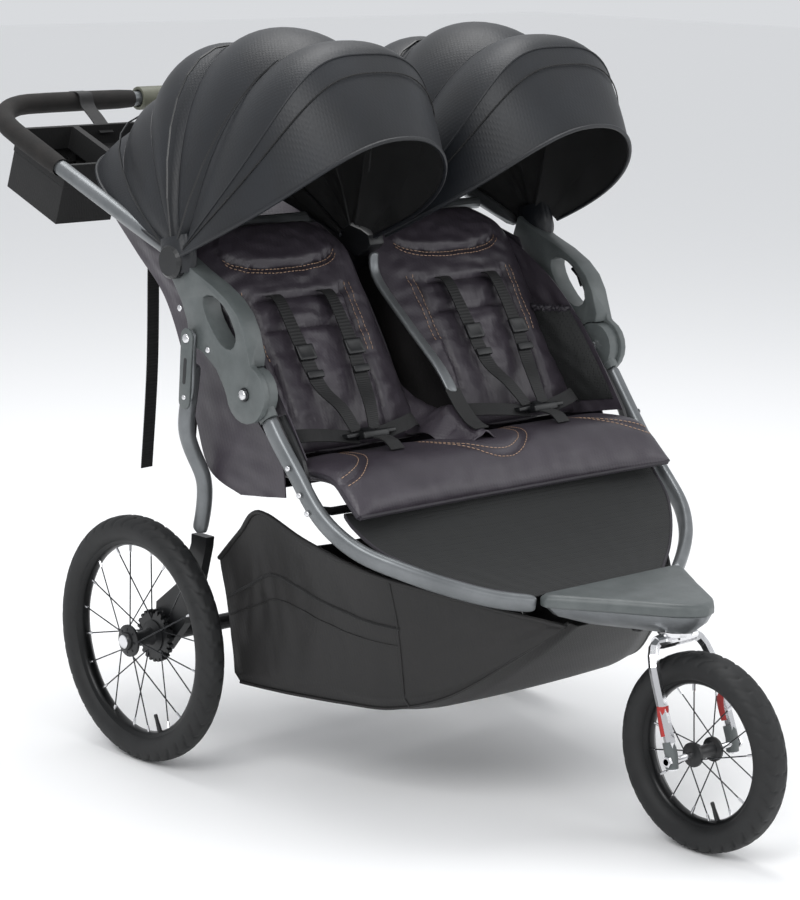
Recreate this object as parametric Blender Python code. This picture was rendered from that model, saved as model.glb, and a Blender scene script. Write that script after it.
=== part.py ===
"""Side-by-side jogging stroller: fixed front frame, folding handle frame, swivel front wheel.

Metres, +Z up, the stroller faces -Y, and its own right side is -X.
Shapes are written with y = 0 on the rear axle; the root empty then moves the
whole model so that the middle of its length stands over the origin.
"""

from math import atan2, cos, pi, radians, sin

import bmesh
import bpy
from mathutils import Matrix, Vector

# ---- driving dimensions -------------------------------------------------------------------------
AXLE_TO_CENTRE = 0.27705  # rear axle to the middle of the overall length
WHEELBASE = 0.875
GAP = 0.0003  # left between touching pieces

REAR_R = 0.200
REAR_TYRE_WIDTH = 0.044
REAR_X = 0.372  # middle of the rear tyre
FRONT_R = 0.150
FRONT_TYRE_WIDTH = 0.054
TYRE_FACETS = 32
SPOKES = 12

STEER_Y = -0.812  # swivel axis of the fork
FORK_CROWN_Z = 0.309
LOCK_Y = -0.737  # knob of the swivel lock, outside the fork's turning circle

FOLD_Y, FOLD_Z = -0.284, 0.640  # hinge between the front tubes and the handle frame
CASING_IN, CASING_OUT = 0.355, 0.389  # inner and outer faces of the hinge casings
HUB_R = 0.045
SOCKET_R = 0.0395
SOCKET_OUT = 0.3775

TUBE_TALL, TUBE_WIDE = 0.031, 0.022  # oval front tube
HANDLE_X = 0.366
HANDLE_TUBE_R = 0.014
GRIP_R = 0.0190
HANDLE_START = (-0.093, 0.8245)  # where the handle tube leaves the casing, y and z
HANDLE_SLOPE = radians(19.8)
HANDLE_LENGTH = 0.578  # from that end to the middle of the crossbar, along the slope
HANDLE_CORNER = 0.105

LEG_PIN_Y, LEG_PIN_Z = -0.157, 0.710
LEG_TUBE_R = 0.0145

CREASE_Y, CREASE_Z = -0.262, 0.520  # hinge line of the seat backs
SEAT_BACK_LEAN = radians(33.5)
SEAT_BACK_LENGTH = 0.385
SEAT_BACK_THICK = 0.042
SEAT_INNER_X, SEAT_OUTER_X = 0.024, 0.340

CANOPY_Y, CANOPY_Z = -0.115, 0.823  # turning axis of the canopy bows
BOW_R = 0.0018
BOW_START = 0.031  # the bows end this far from their axis
PANEL_GAP = 0.0032  # from a bow to the cloth over it

BRAKE_PIN_RADIUS = 0.036  # how far the brake pins stand from the axle


def clear_scene():
    for obj in list(bpy.data.objects):
        bpy.data.objects.remove(obj)


# ---- materials ----------------------------------------------------------------------------------
def material(name, color, roughness, metallic=0.0):
    mat = bpy.data.materials.new(name)
    mat.use_nodes = True
    shader = mat.node_tree.nodes["Principled BSDF"]
    shader.inputs["Base Color"].default_value = (*color, 1.0)
    shader.inputs["Roughness"].default_value = roughness
    shader.inputs["Metallic"].default_value = metallic
    mat.diffuse_color = (*color, 1.0)
    return mat


def make_materials():
    return {
        "frame_paint": material("frame_paint", (0.23, 0.24, 0.24), 0.35, 0.6),
        "casing_plastic": material("casing_plastic", (0.15, 0.165, 0.165), 0.45),
        "dark_plastic": material("dark_plastic", (0.02, 0.02, 0.022), 0.4),
        "chrome": material("chrome", (0.75, 0.75, 0.76), 0.12, 1.0),
        "foam": material("foam", (0.022, 0.022, 0.02), 0.9),
        "tyre_rubber": material("tyre_rubber", (0.02, 0.02, 0.022), 0.75),
        "rim_black": material("rim_black", (0.015, 0.015, 0.016), 0.3, 0.5),
        "seat_fabric": material("seat_fabric", (0.08, 0.072, 0.083), 0.7),
        "canopy_fabric": material("canopy_fabric", (0.018, 0.021, 0.028), 0.8),
        "basket_fabric": material("basket_fabric", (0.012, 0.011, 0.011), 0.75),
        "mesh_fabric": material("mesh_fabric", (0.02, 0.022, 0.022), 0.8),
        "release_bronze": material("release_bronze", (0.32, 0.16, 0.09), 0.35, 0.8),
    }


# ---- assembling ---------------------------------------------------------------------------------
class Body:
    """An empty on a joint's axis. Pieces are shaped in stroller coordinates and hung on it."""

    def __init__(self, name, pivot, parent=None):
        self.pivot = Vector(pivot)
        self.empty = bpy.data.objects.new("body_" + name, None)
        bpy.context.collection.objects.link(self.empty)
        if parent is None:
            self.empty.location = self.pivot + Vector((0, AXLE_TO_CENTRE, 0))
        else:
            self.empty.parent = parent.empty
            self.empty.location = self.pivot - parent.pivot

    def add(self, name, mesh, mat, smooth_deg=35):
        obj = bpy.data.objects.new(name, mesh)
        mesh.transform(Matrix.Translation(-self.pivot))
        mesh.materials.append(mat)
        mesh.shade_smooth()
        mesh.set_sharp_from_angle(angle=radians(smooth_deg))
        bpy.context.collection.objects.link(obj)
        obj.parent = self.empty
        return obj

    def boolean(self, obj, mesh, operation):
        """Cuts the mesh from obj, or joins it to obj, keeping the operand as a wire guide."""
        guide = bpy.data.objects.new(f"guide_{obj.name}_{len(obj.modifiers)}", mesh)
        mesh.transform(Matrix.Translation(-self.pivot))
        bpy.context.collection.objects.link(guide)
        guide.parent = self.empty
        guide.hide_render = True
        guide.display_type = "WIRE"
        step = obj.modifiers.new(operation.title(), "BOOLEAN")
        step.operation = operation
        step.solver = "EXACT"
        step.object = guide

    def cut(self, obj, mesh):
        self.boolean(obj, mesh, "DIFFERENCE")

    def join(self, obj, mesh):
        self.boolean(obj, mesh, "UNION")


# ---- shape helpers ------------------------------------------------------------------------------
def finish(bm):
    bmesh.ops.recalc_face_normals(bm, faces=bm.faces)
    mesh = bpy.data.meshes.new("shape")
    bm.to_mesh(mesh)
    bm.free()
    return mesh


def loft(rings, closed=False):
    """Skins equal rings of points; the ends are capped unless the rings go all the way round."""
    bm = bmesh.new()
    verts = [[bm.verts.new(point) for point in ring] for ring in rings]
    count = len(rings[0])
    pairs = list(zip(verts, verts[1:]))
    if closed:
        pairs.append((verts[-1], verts[0]))
    for near, far in pairs:
        for i in range(count):
            j = (i + 1) % count
            bm.faces.new((near[i], near[j], far[j], far[i]))
    if not closed:
        bm.faces.new(verts[0])
        bm.faces.new(reversed(verts[-1]))
    return finish(bm)


def merged(*meshes):
    """One mesh holding several separate shapes, used as a Boolean operand."""
    bm = bmesh.new()
    for mesh in meshes:
        bm.from_mesh(mesh)
        bpy.data.meshes.remove(mesh)
    return finish(bm)


def smooth(points, steps=4, closed=False):
    """A Catmull-Rom curve through the points."""
    pts = [Vector(p) for p in points]
    n = len(pts)
    curve = []
    for i in range(n if closed else n - 1):
        if closed:
            a, b, c, d = (pts[(i + k) % n] for k in (-1, 0, 1, 2))
        else:
            a, b, c, d = (pts[min(max(i + k, 0), n - 1)] for k in (-1, 0, 1, 2))
        for s in range(steps):
            t = s / steps
            curve.append(0.5 * (2 * b + (c - a) * t + (2 * a - 5 * b + 4 * c - d) * t**2
                                + (3 * b - a - 3 * c + d) * t**3))
    if not closed:
        curve.append(pts[-1])
    return curve


def oval(width, height, count=10, power=2.0):
    """Section points (across, up) of an ellipse, or of a rounder box when power is over 2."""
    ring = []
    for i in range(count):
        angle = 2 * pi * (i + 0.5) / count
        c, s = cos(angle), sin(angle)
        ring.append((width / 2 * abs(c) ** (2 / power) * (1 if c > 0 else -1),
                     height / 2 * abs(s) ** (2 / power) * (1 if s > 0 else -1)))
    return ring


def sweep(path, section, across=None):
    """Carries a section along a path. across is the section's first direction at the start."""
    pts = [Vector(p) for p in path]
    rings = []
    side = None
    for i, point in enumerate(pts):
        ahead = (pts[min(i + 1, len(pts) - 1)] - pts[max(i - 1, 0)]).normalized()
        if side is None:
            side = Vector(across) if across else ahead.orthogonal()
        side = (side - ahead * side.dot(ahead)).normalized()
        up = ahead.cross(side)
        ring = section[i] if isinstance(section[0], list) else section
        rings.append([point + side * a + up * b for a, b in ring])
    return loft(rings)


def rod(start, end, radius, sides=12, end_radius=None):
    radii = (radius, radius if end_radius is None else end_radius)
    return sweep([start, end], [oval(2 * r, 2 * r, sides) for r in radii])


def lathe(centre, stations, sides=24):
    """Solid turned about the X direction: stations are (x offset, radius)."""
    cx, cy, cz = centre
    rings = []
    for offset, radius in stations:
        rings.append([(cx + offset, cy + radius * cos(2 * pi * (i + 0.5) / sides),
                       cz + radius * sin(2 * pi * (i + 0.5) / sides)) for i in range(sides)])
    return loft(rings)


def hoop(centre, profile, facets):
    """Closed ring about the X direction, with a flat facet straight down.

    profile is a closed loop of (x offset, radius); each radius is met at the facets' middles.
    """
    cx, cy, cz = centre
    grow = 1 / cos(pi / facets)
    rings = []
    for i in range(facets):
        angle = 2 * pi * (i + 0.5) / facets
        rings.append([(cx + x, cy + r * grow * cos(angle), cz + r * grow * sin(angle))
                      for x, r in profile])
    return loft(rings, closed=True)


def slab(outline, x_low, x_high):
    """An outline in the Y-Z plane, given a thickness along X."""
    return loft([[(x, y, z) for y, z in outline] for x in (x_low, x_high)])


def arc(cy, cz, radius, start_deg, end_deg, steps):
    """Points (y, z) on an arc, measured from +Y towards +Z."""
    points = []
    for i in range(steps + 1):
        angle = radians(start_deg + (end_deg - start_deg) * i / steps)
        points.append((cy + radius * cos(angle), cz + radius * sin(angle)))
    return points


def mirror_x(mesh, side):
    """side 1 leaves the shape on +X, the stroller's left; -1 turns it over to the right."""
    if side < 0:
        mesh.transform(Matrix.Scale(-1, 4, (1, 0, 0)))
        mesh.flip_normals()
    return mesh


SIDES = (("left", 1), ("right", -1))


# ---- front frame --------------------------------------------------------------------------------
def front_tube_path():
    """Centre line of the left front tube, from the hub socket to the nose."""
    return smooth([(0.3670, -0.3155, 0.6035), (0.3670, -0.334, 0.5785), (0.363, -0.380, 0.5245),
                   (0.360, -0.4266, 0.4715), (0.343, -0.4856, 0.4315), (0.313, -0.536, 0.4105),
                   (0.263, -0.591, 0.3865), (0.203, -0.636, 0.3655), (0.151, -0.672, 0.3575)], 2)


def nose_outline(scale_x, scale_y, z):
    """Rounded triangle of the nose in plan, wide end to the rear."""
    plan = [(0.146, -0.674), (0.150, -0.690), (0.128, -0.722), (0.092, -0.772), (0.062, -0.818),
            (0.040, -0.850), (0.020, -0.869)]
    plan = plan + [(0.0, -0.876)] + [(-x, y) for x, y in reversed(plan)]
    middle_y = -0.765
    return [(x * scale_x, middle_y + (y - middle_y) * scale_y, z) for x, y in plan]


def make_front_frame(body, mats):
    section = oval(TUBE_WIDE, TUBE_TALL, 8, 2.6)
    for label, side in SIDES:
        tube = mirror_x(sweep(front_tube_path(), section, across=(1, 0, 0)), side)
        body.add("side_tube_" + label, tube, mats["frame_paint"])

        # round socket of the fold hinge, with a neck that the tube butts against
        disc = lathe((0, FOLD_Y, FOLD_Z), [(0.3565, SOCKET_R), (SOCKET_OUT, SOCKET_R)], 20)
        socket = body.add("hub_socket_" + label, mirror_x(disc, side), mats["casing_plastic"])
        start, towards = front_tube_path()[:2]
        back = Vector((0, start.y - towards.y, start.z - towards.z)).normalized()
        neck = sweep([start + back * GAP, start + back * 0.03], oval(0.020, 0.033, 12, 3.2),
                     across=(1, 0, 0))
        body.join(socket, mirror_x(neck, side))
        bore = lathe((0, FOLD_Y, FOLD_Z), [(0.34, 0.0063), (0.40, 0.0063)], 16)
        body.cut(socket, mirror_x(bore, side))

    cover = loft([nose_outline(1, 1, 0.354), nose_outline(1, 1, 0.368),
                  nose_outline(0.93, 0.95, 0.374)])
    body.add("nose_cover", cover, mats["casing_plastic"])

    casting = loft([nose_outline(0.52, 0.72, 0.323), nose_outline(0.86, 0.90, 0.340),
                    nose_outline(0.95, 0.97, 0.354 - GAP)])
    nose = body.add("nose_casting", casting, mats["frame_paint"])
    body.cut(nose, nose_bore())
    for label, side in SIDES:
        body.cut(nose, mirror_x(tube_relief(), side))

    rail = smooth([(0.3445, -0.318, 0.606), (0.3445, -0.365, 0.545), (0.3425, -0.388, 0.488),
                   (0.310, -0.394, 0.470), (0.15, -0.393, 0.470)], 2)
    rail = rail + [Vector((-p.x, p.y, p.z)) for p in reversed(rail)]
    body.add("seat_rail", sweep(rail, oval(0.013, 0.013, 6), across=(0, 0, 1)),
             mats["dark_plastic"])


def nose_bore():
    """Bearing bore of the swivel axis."""
    ring = oval(0.0256, 0.0256, 14)
    return sweep([(0, STEER_Y, 0.30), (0, STEER_Y, 0.3495)], ring)


def tube_relief():
    """Room for the end of a front tube beside the nose casting."""
    path = front_tube_path()[-6:]
    path.append(path[-1] + (path[-1] - path[-2]).normalized() * 0.004)
    return sweep(path, oval(TUBE_WIDE + 0.002, TUBE_TALL + 0.002, 8, 2.6), across=(1, 0, 0))


# ---- front wheel and fork -----------------------------------------------------------------------
def make_fork(body, mats):
    crown = lathe((0, 0, 0), [(-0.042, 0.009), (-0.030, 0.0110), (0.030, 0.0110), (0.042, 0.009)], 16)
    crown.transform(Matrix.Translation((0, STEER_Y, FORK_CROWN_Z)))
    fork = body.add("fork", crown, mats["chrome"])
    body.join(fork, rod((0, STEER_Y, FORK_CROWN_Z), (0, STEER_Y, 0.347), 0.0120, 14))
    body.join(fork, rod((0, STEER_Y, 0.3165), (0, STEER_Y, 0.3225), 0.026, 14))
    axle_y = -WHEELBASE
    for side in (1, -1):
        leg = smooth([(0.034, STEER_Y, FORK_CROWN_Z), (0.049, STEER_Y - 0.004, 0.304),
                      (0.0605, STEER_Y - 0.016, 0.278), (0.064, STEER_Y - 0.036, 0.230),
                      (0.066, axle_y + 0.006, 0.175), (0.066, axle_y, FRONT_R - 0.014)], 2)
        body.join(fork, mirror_x(sweep(leg, oval(0.0165, 0.0165, 6)), side))
    body.join(fork, rod((-0.080, axle_y, FRONT_R), (0.080, axle_y, FRONT_R), 0.0050, 12))


def tyre_profile(width, radius, inner_radius):
    """Tyre section: a flat tread strip, round shoulders and a bead."""
    half = width / 2
    depth = radius - inner_radius
    return [(-0.18 * width, radius), (0.18 * width, radius), (0.80 * half, radius - 0.16 * depth),
            (half, radius - 0.45 * depth), (0.82 * half, radius - 0.80 * depth),
            (0.55 * half, inner_radius), (-0.55 * half, inner_radius),
            (-0.82 * half, radius - 0.80 * depth), (-half, radius - 0.45 * depth),
            (-0.80 * half, radius - 0.16 * depth)]


def spoke_fan(centre, hub_r, hub_half, rim_r, rim_x, count):
    """Spokes that lean from the two hub flanges to the rim in turn."""
    cx, cy, cz = centre
    rods = []
    for i in range(count):
        angle = 2 * pi * i / count
        flange = hub_half if i % 2 else -hub_half
        start = (cx + flange, cy + hub_r * cos(angle), cz + hub_r * sin(angle))
        end = (cx + rim_x, cy + rim_r * cos(angle), cz + rim_r * sin(angle))
        rods.append(rod(start, end, 0.0014, 4))
    return merged(*rods)


def make_wheel(body, name, centre, tyre_r, width, hub, flange_half, mats, bore_r):
    """Tyre, and rim with spokes and hub as one wheel. hub is (x offset, radius) stations."""
    rim_r = tyre_r - 0.036
    rim_half = 0.0125
    tyre = hoop(centre, tyre_profile(width, tyre_r, rim_r), TYRE_FACETS)
    body.add(name + "_tyre", tyre, mats["tyre_rubber"])
    profile = [(-rim_half, rim_r - GAP), (rim_half, rim_r - GAP), (rim_half, rim_r - 0.008),
               (0.005, rim_r - 0.015), (-0.005, rim_r - 0.015), (-rim_half, rim_r - 0.008)]
    rim = hoop(centre, profile, TYRE_FACETS)
    core = lathe(centre, hub, 16)
    wheel = body.add(name + "_wheel", merged(rim, core), mats["rim_black"])
    body.join(wheel, spoke_fan(centre, 0.013, flange_half, rim_r - 0.0105, 0.0, SPOKES))
    body.cut(wheel, lathe(centre, [(-0.09, bore_r), (0.09, bore_r)], 12))
    return wheel


# ---- rear legs, axle and brake ------------------------------------------------------------------
def make_rear_legs(body, mats):
    for label, side in SIDES:
        path = smooth([(0.382, -0.149, 0.668), (0.383, -0.140, 0.610), (0.381, -0.130, 0.563),
                       (0.364, -0.128, 0.520), (0.346, -0.131, 0.480), (0.335, -0.116, 0.430),
                       (0.331, -0.100, 0.390)], 2)
        widths = [oval(0.029 - 0.003 * i / len(path), 0.031 - 0.003 * i / len(path), 8)
                  for i in range(len(path))]
        tube = mirror_x(sweep(path, widths, across=(1, 0, 0)), side)
        leg = body.add("rear_leg_" + label, tube, mats["frame_paint"])
        # tapered link plate on the outer face, turning on the pin in the casing
        lean = radians(-84.5)
        foot_y, foot_z = LEG_PIN_Y + 0.086 * cos(lean), LEG_PIN_Z + 0.086 * sin(lean)
        plate = arc(LEG_PIN_Y, LEG_PIN_Z, 0.0135, 8, 172, 8)
        plate += arc(foot_y, foot_z, 0.0165, 190, 350, 8)
        body.join(leg, mirror_x(slab(plate, CASING_OUT + GAP, 0.3968), side))


def make_rear_axle(body, mats):
    """Cross tube on the wheel axis with an end bracket at each leg."""
    tube = rod((-0.318, 0, REAR_R), (0.318, 0, REAR_R), 0.0130, 16)
    axle = body.add("rear_axle", tube, mats["dark_plastic"])
    outline = [(-0.117, 0.366), (-0.119, 0.3815), (-0.081, 0.3815), (-0.080, 0.366),
               (-0.052, 0.300), (0.012, 0.252)] + arc(0, REAR_R, 0.028, 60, -120, 10) \
        + [(-0.062, 0.230), (-0.098, 0.300)]
    for label, side in SIDES:
        body.join(axle, mirror_x(slab(outline, 0.3165, 0.3325), side))
        body.join(axle, mirror_x(rod((0.33, 0, REAR_R), (0.394, 0, REAR_R), 0.0060, 16), side))
        pin_bore = lathe((0.30, 0, REAR_R + BRAKE_PIN_RADIUS), [(0.0, 0.0044), (0.05, 0.0044)], 12)
        body.cut(axle, mirror_x(pin_bore, side))


def make_brake_pin(body, label, side, mats):
    z = REAR_R + BRAKE_PIN_RADIUS
    pin = lathe((0, 0, z), [(0.3030, 0.0065), (0.3090, 0.0065), (0.3091, 0.0040), (0.3360, 0.0040)], 12)
    body.add("brake_pin_" + label, mirror_x(pin, side), mats["chrome"])


def make_brake_pedal(body, mats):
    """Foot bar that turns on the axle tube."""
    ring = hoop((0, 0, REAR_R), [(-0.035, 0.0133), (-0.035, 0.0185), (0.035, 0.0185), (0.035, 0.0133)], 16)
    pedal = body.add("brake_pedal", ring, mats["dark_plastic"])
    outline = [(0.016, 0.2065), (0.050, 0.2130), (0.086, 0.2090), (0.092, 0.2020), (0.086, 0.1980),
               (0.050, 0.2030), (0.016, 0.1945)]
    body.join(pedal, slab(outline, -0.032, 0.032))


def make_rear_wheel(body, label, side, mats):
    centre = (side * REAR_X, 0, REAR_R)
    disc_in, disc_out = 0.3385 - REAR_X, 0.3425 - REAR_X
    stations = [(disc_in, 0.048), (disc_out, 0.048), (disc_out + 0.0001, 0.030),
                (-0.024, 0.024), (-0.022, 0.015), (0.016, 0.015), (0.018, 0.019), (0.022, 0.019),
                (0.024, 0.013), (0.0315, 0.012)]
    hub = [(side * x, r) for x, r in stations]
    wheel = make_wheel(body, "rear_" + label, centre, REAR_R, REAR_TYRE_WIDTH, hub, 0.0195, mats, 0.0064)
    slots = []
    for i in range(8):
        angle = pi / 2 + 2 * pi * i / 8
        y = BRAKE_PIN_RADIUS * cos(angle)
        z = REAR_R + BRAKE_PIN_RADIUS * sin(angle)
        slots.append(lathe((side * 0.334, y, z), [(0, 0.0050), (side * 0.0098, 0.0050)], 6))
    body.cut(wheel, merged(*slots))


# ---- handle frame -------------------------------------------------------------------------------
def along_handle(distance, drop=0.0):
    """Point (y, z) that far up the handle tube, and that far under its middle."""
    y, z = HANDLE_START
    return (y + distance * cos(HANDLE_SLOPE) + drop * sin(HANDLE_SLOPE),
            z + distance * sin(HANDLE_SLOPE) - drop * cos(HANDLE_SLOPE))


def handle_path(steps=6):
    """Left end of the handle tube, round the corner and half the crossbar."""
    straight = HANDLE_LENGTH - HANDLE_CORNER
    points = [(HANDLE_X, *along_handle(0.0)), (HANDLE_X, *along_handle(straight))]
    for i in range(1, steps + 1):
        angle = pi / 2 * i / steps
        points.append((HANDLE_X - HANDLE_CORNER * (1 - cos(angle)),
                       *along_handle(straight + HANDLE_CORNER * sin(angle))))
    return points


def casing_outline():
    """Side outline of a hinge casing: a round hub, a waist and the tube socket."""
    front = [(-0.2955, 0.6855), (-0.287, 0.710), (-0.279, 0.733), (-0.264, 0.757), (-0.240, 0.777),
             (-0.205, 0.795), (-0.160, 0.812), (-0.127, 0.8275)]
    end_y, end_z = HANDLE_START
    across_y, across_z = -sin(HANDLE_SLOPE), cos(HANDLE_SLOPE)
    socket = [(end_y + across_y * s - GAP, end_z + across_z * s) for s in (0.017, -0.017)]
    rear = [(-0.107, 0.792), (-0.128, 0.765), (-0.143, 0.735), (-0.150, 0.700), (-0.184, 0.690),
            (-0.215, 0.669), (-0.234, 0.643)]
    return front + socket + rear + arc(FOLD_Y, FOLD_Z, HUB_R, -10, -250, 14)


def hand_hole_outline():
    points = [(-0.182, 0.775), (-0.205, 0.780), (-0.234, 0.766), (-0.254, 0.742), (-0.262, 0.718),
              (-0.249, 0.703), (-0.226, 0.708), (-0.203, 0.729), (-0.186, 0.752)]
    return [(p.x, p.y) for p in smooth([(y, z, 0) for y, z in points], 2, closed=True)]


def make_handle_frame(body, mats):
    half = handle_path()
    whole = half + [(-x, y, z) for x, y, z in reversed(half)]
    body.add("handle_tube", sweep(whole, oval(2 * HANDLE_TUBE_R, 2 * HANDLE_TUBE_R, 8),
                                  across=(0, 0, 1)), mats["frame_paint"])
    bar_y, bar_z = along_handle(HANDLE_LENGTH)
    for label, side in SIDES:
        grip_start = (HANDLE_X, *along_handle(0.325))
        path = [grip_start] + half[1:] + [(0.045, bar_y, bar_z)]
        path = [(side * x, y, z) for x, y, z in path]
        grip = body.add("grip_" + label, sweep(path, oval(2 * GRIP_R, 2 * GRIP_R, 8),
                                               across=(0, 0, 1)), mats["foam"])
        margin = 2 * (HANDLE_TUBE_R + GAP)
        first = Vector(path[0]) + (Vector(path[0]) - Vector(path[1])).normalized() * 0.01
        last = Vector(path[-1]) + Vector((-side * 0.01, 0, 0))
        core = sweep([first] + path[1:-1] + [last], oval(margin, margin, 8), across=(0, 0, 1))
        body.cut(grip, core)

    housing = rod((-0.040, bar_y, bar_z), (0.040, bar_y, bar_z), 0.0205, 16)
    housing = body.add("handle_housing", housing, mats["casing_plastic"])
    body.cut(housing, rod((-0.06, bar_y, bar_z), (0.06, bar_y, bar_z), HANDLE_TUBE_R + 4 * GAP, 12))

    tie_y, tie_z = along_handle(0.098, 0.003)
    tie_x = HANDLE_X - HANDLE_TUBE_R - GAP
    body.add("cross_tube", rod((-tie_x, tie_y, tie_z), (tie_x, tie_y, tie_z), 0.010, 12), mats["frame_paint"])

    for label, side in SIDES:
        shell = mirror_x(slab(casing_outline(), CASING_IN, CASING_OUT), side)
        casing = body.add("casing_" + label, shell, mats["casing_plastic"])
        body.cut(casing, mirror_x(socket_room(), side))
        body.cut(casing, mirror_x(slab(hand_hole_outline(), 0.34, 0.40), side))
        bore = lathe((0, FOLD_Y, FOLD_Z), [(0.34, 0.0063), (0.40, 0.0063)], 16)
        body.cut(casing, mirror_x(bore, side))

        bolt = lathe((0, FOLD_Y, FOLD_Z), [(0.3495, 0.010), (0.3560, 0.010), (0.3561, 0.0060),
                                           (CASING_OUT + GAP, 0.0060), (CASING_OUT + 2 * GAP, 0.0095),
                                           (0.3945, 0.0075)], 16)
        body.add("fold_bolt_" + label, mirror_x(bolt, side), mats["chrome"])

        boss = lathe((0, CANOPY_Y, CANOPY_Z), [(CASING_OUT + GAP, 0.027), (0.400, 0.027), (0.4045, 0.022)], 24)
        body.add("canopy_hinge_" + label, mirror_x(boss, side), mats["dark_plastic"])


def socket_room():
    """Space inside the casing for the hub socket and for the front tube's whole swing."""
    room = arc(FOLD_Y, FOLD_Z, SOCKET_R + 0.0015, -98, 97, 18)
    far = arc(FOLD_Y, FOLD_Z, 0.11, 99, 262, 9)
    return slab(room + far, 0.34, SOCKET_OUT + GAP)


def make_trigger(body, label, side, mats):
    """Ribbed pull along the front of the hand hole."""
    path = [(0.372, -0.2455, 0.7365), (0.372, -0.2370, 0.7530), (0.372, -0.2225, 0.7640)]
    trigger = sweep(path, oval(0.020, 0.0070, 8, 3), across=(1, 0, 0))
    body.add("fold_trigger_" + label, mirror_x(trigger, side), mats["dark_plastic"])


def make_organiser(body, mats):
    """Soft tray between the handle tubes with a deep cup pocket at each end."""
    def tray_box(x0, x1, d0, d1, top, bottom):
        rings = []
        for drop in (bottom, top):
            ring = []
            for x, d in ((x0, d0), (x1, d0), (x1, d1), (x0, d1)):
                ring.append((x, *along_handle(d, drop)))
            rings.append(ring)
        return loft(rings)

    width = HANDLE_X - GRIP_R - 0.004
    tray = body.add("organiser", tray_box(-width, width, 0.345, 0.495, 0.004, 0.044), mats["basket_fabric"])
    for side in (1, -1):
        near, far = sorted((side * (width - 0.112), side * (width - 0.001)))
        body.join(tray, tray_box(near, far, 0.346, 0.494, 0.030, 0.110))
    body.cut(tray, tray_box(-width + 0.120, width - 0.120, 0.350, 0.490, -0.02, 0.040))
    for side in (1, -1):
        near, far = sorted((side * (width - 0.107), side * (width - 0.005)))
        body.cut(tray, tray_box(near, far, 0.351, 0.489, -0.02, 0.105))


def make_divider(body, mats):
    """Bracket between the canopies, and the strut that comes down from it."""
    tie_y, tie_z = along_handle(0.098, 0.003)
    outline = [(tie_y - 0.0104, tie_z + 0.010), (tie_y - 0.0104, tie_z - 0.010), (-0.105, 0.800),
               (-0.128, 0.8135), (-0.140, 0.823), (-0.135, 0.838), (-0.115, 0.846)]
    body.add("canopy_mount_centre", slab(outline, -0.0155, 0.0155), mats["dark_plastic"])
    path = smooth([(0, -0.132, 0.8095), (0, -0.134, 0.772), (0, -0.192, 0.722), (0, -0.250, 0.676),
                   (0, -0.296, 0.640), (0, -0.325, 0.606)], 2)
    widths = [oval(0.020 + 0.006 * (i / len(path)) ** 3, 0.009, 8, 3) for i in range(len(path))]
    body.add("divider_strut", sweep(path, widths, across=(1, 0, 0)), mats["frame_paint"])


# ---- soft pieces --------------------------------------------------------------------------------
def back_point(up, depth):
    """Point (y, z) on the seat back: up its front face, and that deep behind the face."""
    s, c = sin(SEAT_BACK_LEAN), cos(SEAT_BACK_LEAN)
    return CREASE_Y + up * s + depth * c, CREASE_Z + up * c - depth * s


def make_seat_back(body, label, side, mats):
    """Padded back with a round top, as one plain cushion."""
    middle = (SEAT_INNER_X + SEAT_OUTER_X) / 2
    half = (SEAT_OUTER_X - SEAT_INNER_X) / 2
    top = SEAT_BACK_LENGTH
    plan = [(-half, 0.016), (-half, top - 0.09), (-half * 0.93, top - 0.045), (-half * 0.72, top - 0.014),
            (-half * 0.4, top)]
    plan = plan + [(-x, up) for x, up in reversed(plan)]
    rings = []
    for depth, shrink in ((0.0, 0.955), (0.009, 1.0), (SEAT_BACK_THICK - 0.009, 1.0), (SEAT_BACK_THICK, 0.955)):
        rings.append([(side * middle + x * shrink, *back_point(top / 2 + (up - top / 2) * shrink, depth))
                      for x, up in plan])
    body.add("seat_back_" + label, loft(rings), mats["seat_fabric"])


def make_seat_cushion(body, mats):
    """Seat of both places, rolled over the front rail."""
    outline = [(-0.270, 0.527), (-0.330, 0.541), (-0.388, 0.5475), (-0.410, 0.542), (-0.440, 0.515),
               (-0.468, 0.481), (-0.463, 0.468), (-0.450, 0.466), (-0.418, 0.500), (-0.385, 0.508),
               (-0.330, 0.506), (-0.270, 0.503)]
    middle_y, middle_z = -0.38, 0.515
    rings = []
    for x, scale in ((-0.338, 0.90), (-0.330, 1.0), (0.330, 1.0), (0.338, 0.90)):
        rings.append([(x, middle_y + (y - middle_y) * scale, middle_z + (z - middle_z) * scale)
                      for y, z in outline])
    body.add("seat_cushion", loft(rings), mats["seat_fabric"])


def make_side_panel(body, label, side, mats):
    """Fabric side wall between the seat back, the casing and the seat."""
    outline = [(-0.124, 0.788), (-0.150, 0.800), (-0.205, 0.786), (-0.262, 0.742), (-0.285, 0.690),
               (-0.318, 0.640), (-0.372, 0.568), (-0.340, 0.553), (-0.266, 0.542), (-0.232, 0.580),
               (-0.172, 0.680)]
    panel = slab(outline, 0.3325, 0.3350)
    body.add("side_panel_" + label, mirror_x(panel, side), mats["seat_fabric"])


def make_footwell(body, mats):
    """Mesh apron from the seat's front edge down to the nose."""
    stations = [(-0.462, 0.4550, 0.325), (-0.500, 0.4330, 0.312), (-0.545, 0.4080, 0.276),
                (-0.600, 0.3830, 0.215), (-0.655, 0.3640, 0.140)]
    rings = []
    for y, z, half in stations:
        rings.append([(-half, y, z), (half, y, z), (half, y - 0.001, z - 0.004), (-half, y - 0.001, z - 0.004)])
    body.add("footwell_panel", loft(rings), mats["mesh_fabric"])


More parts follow.
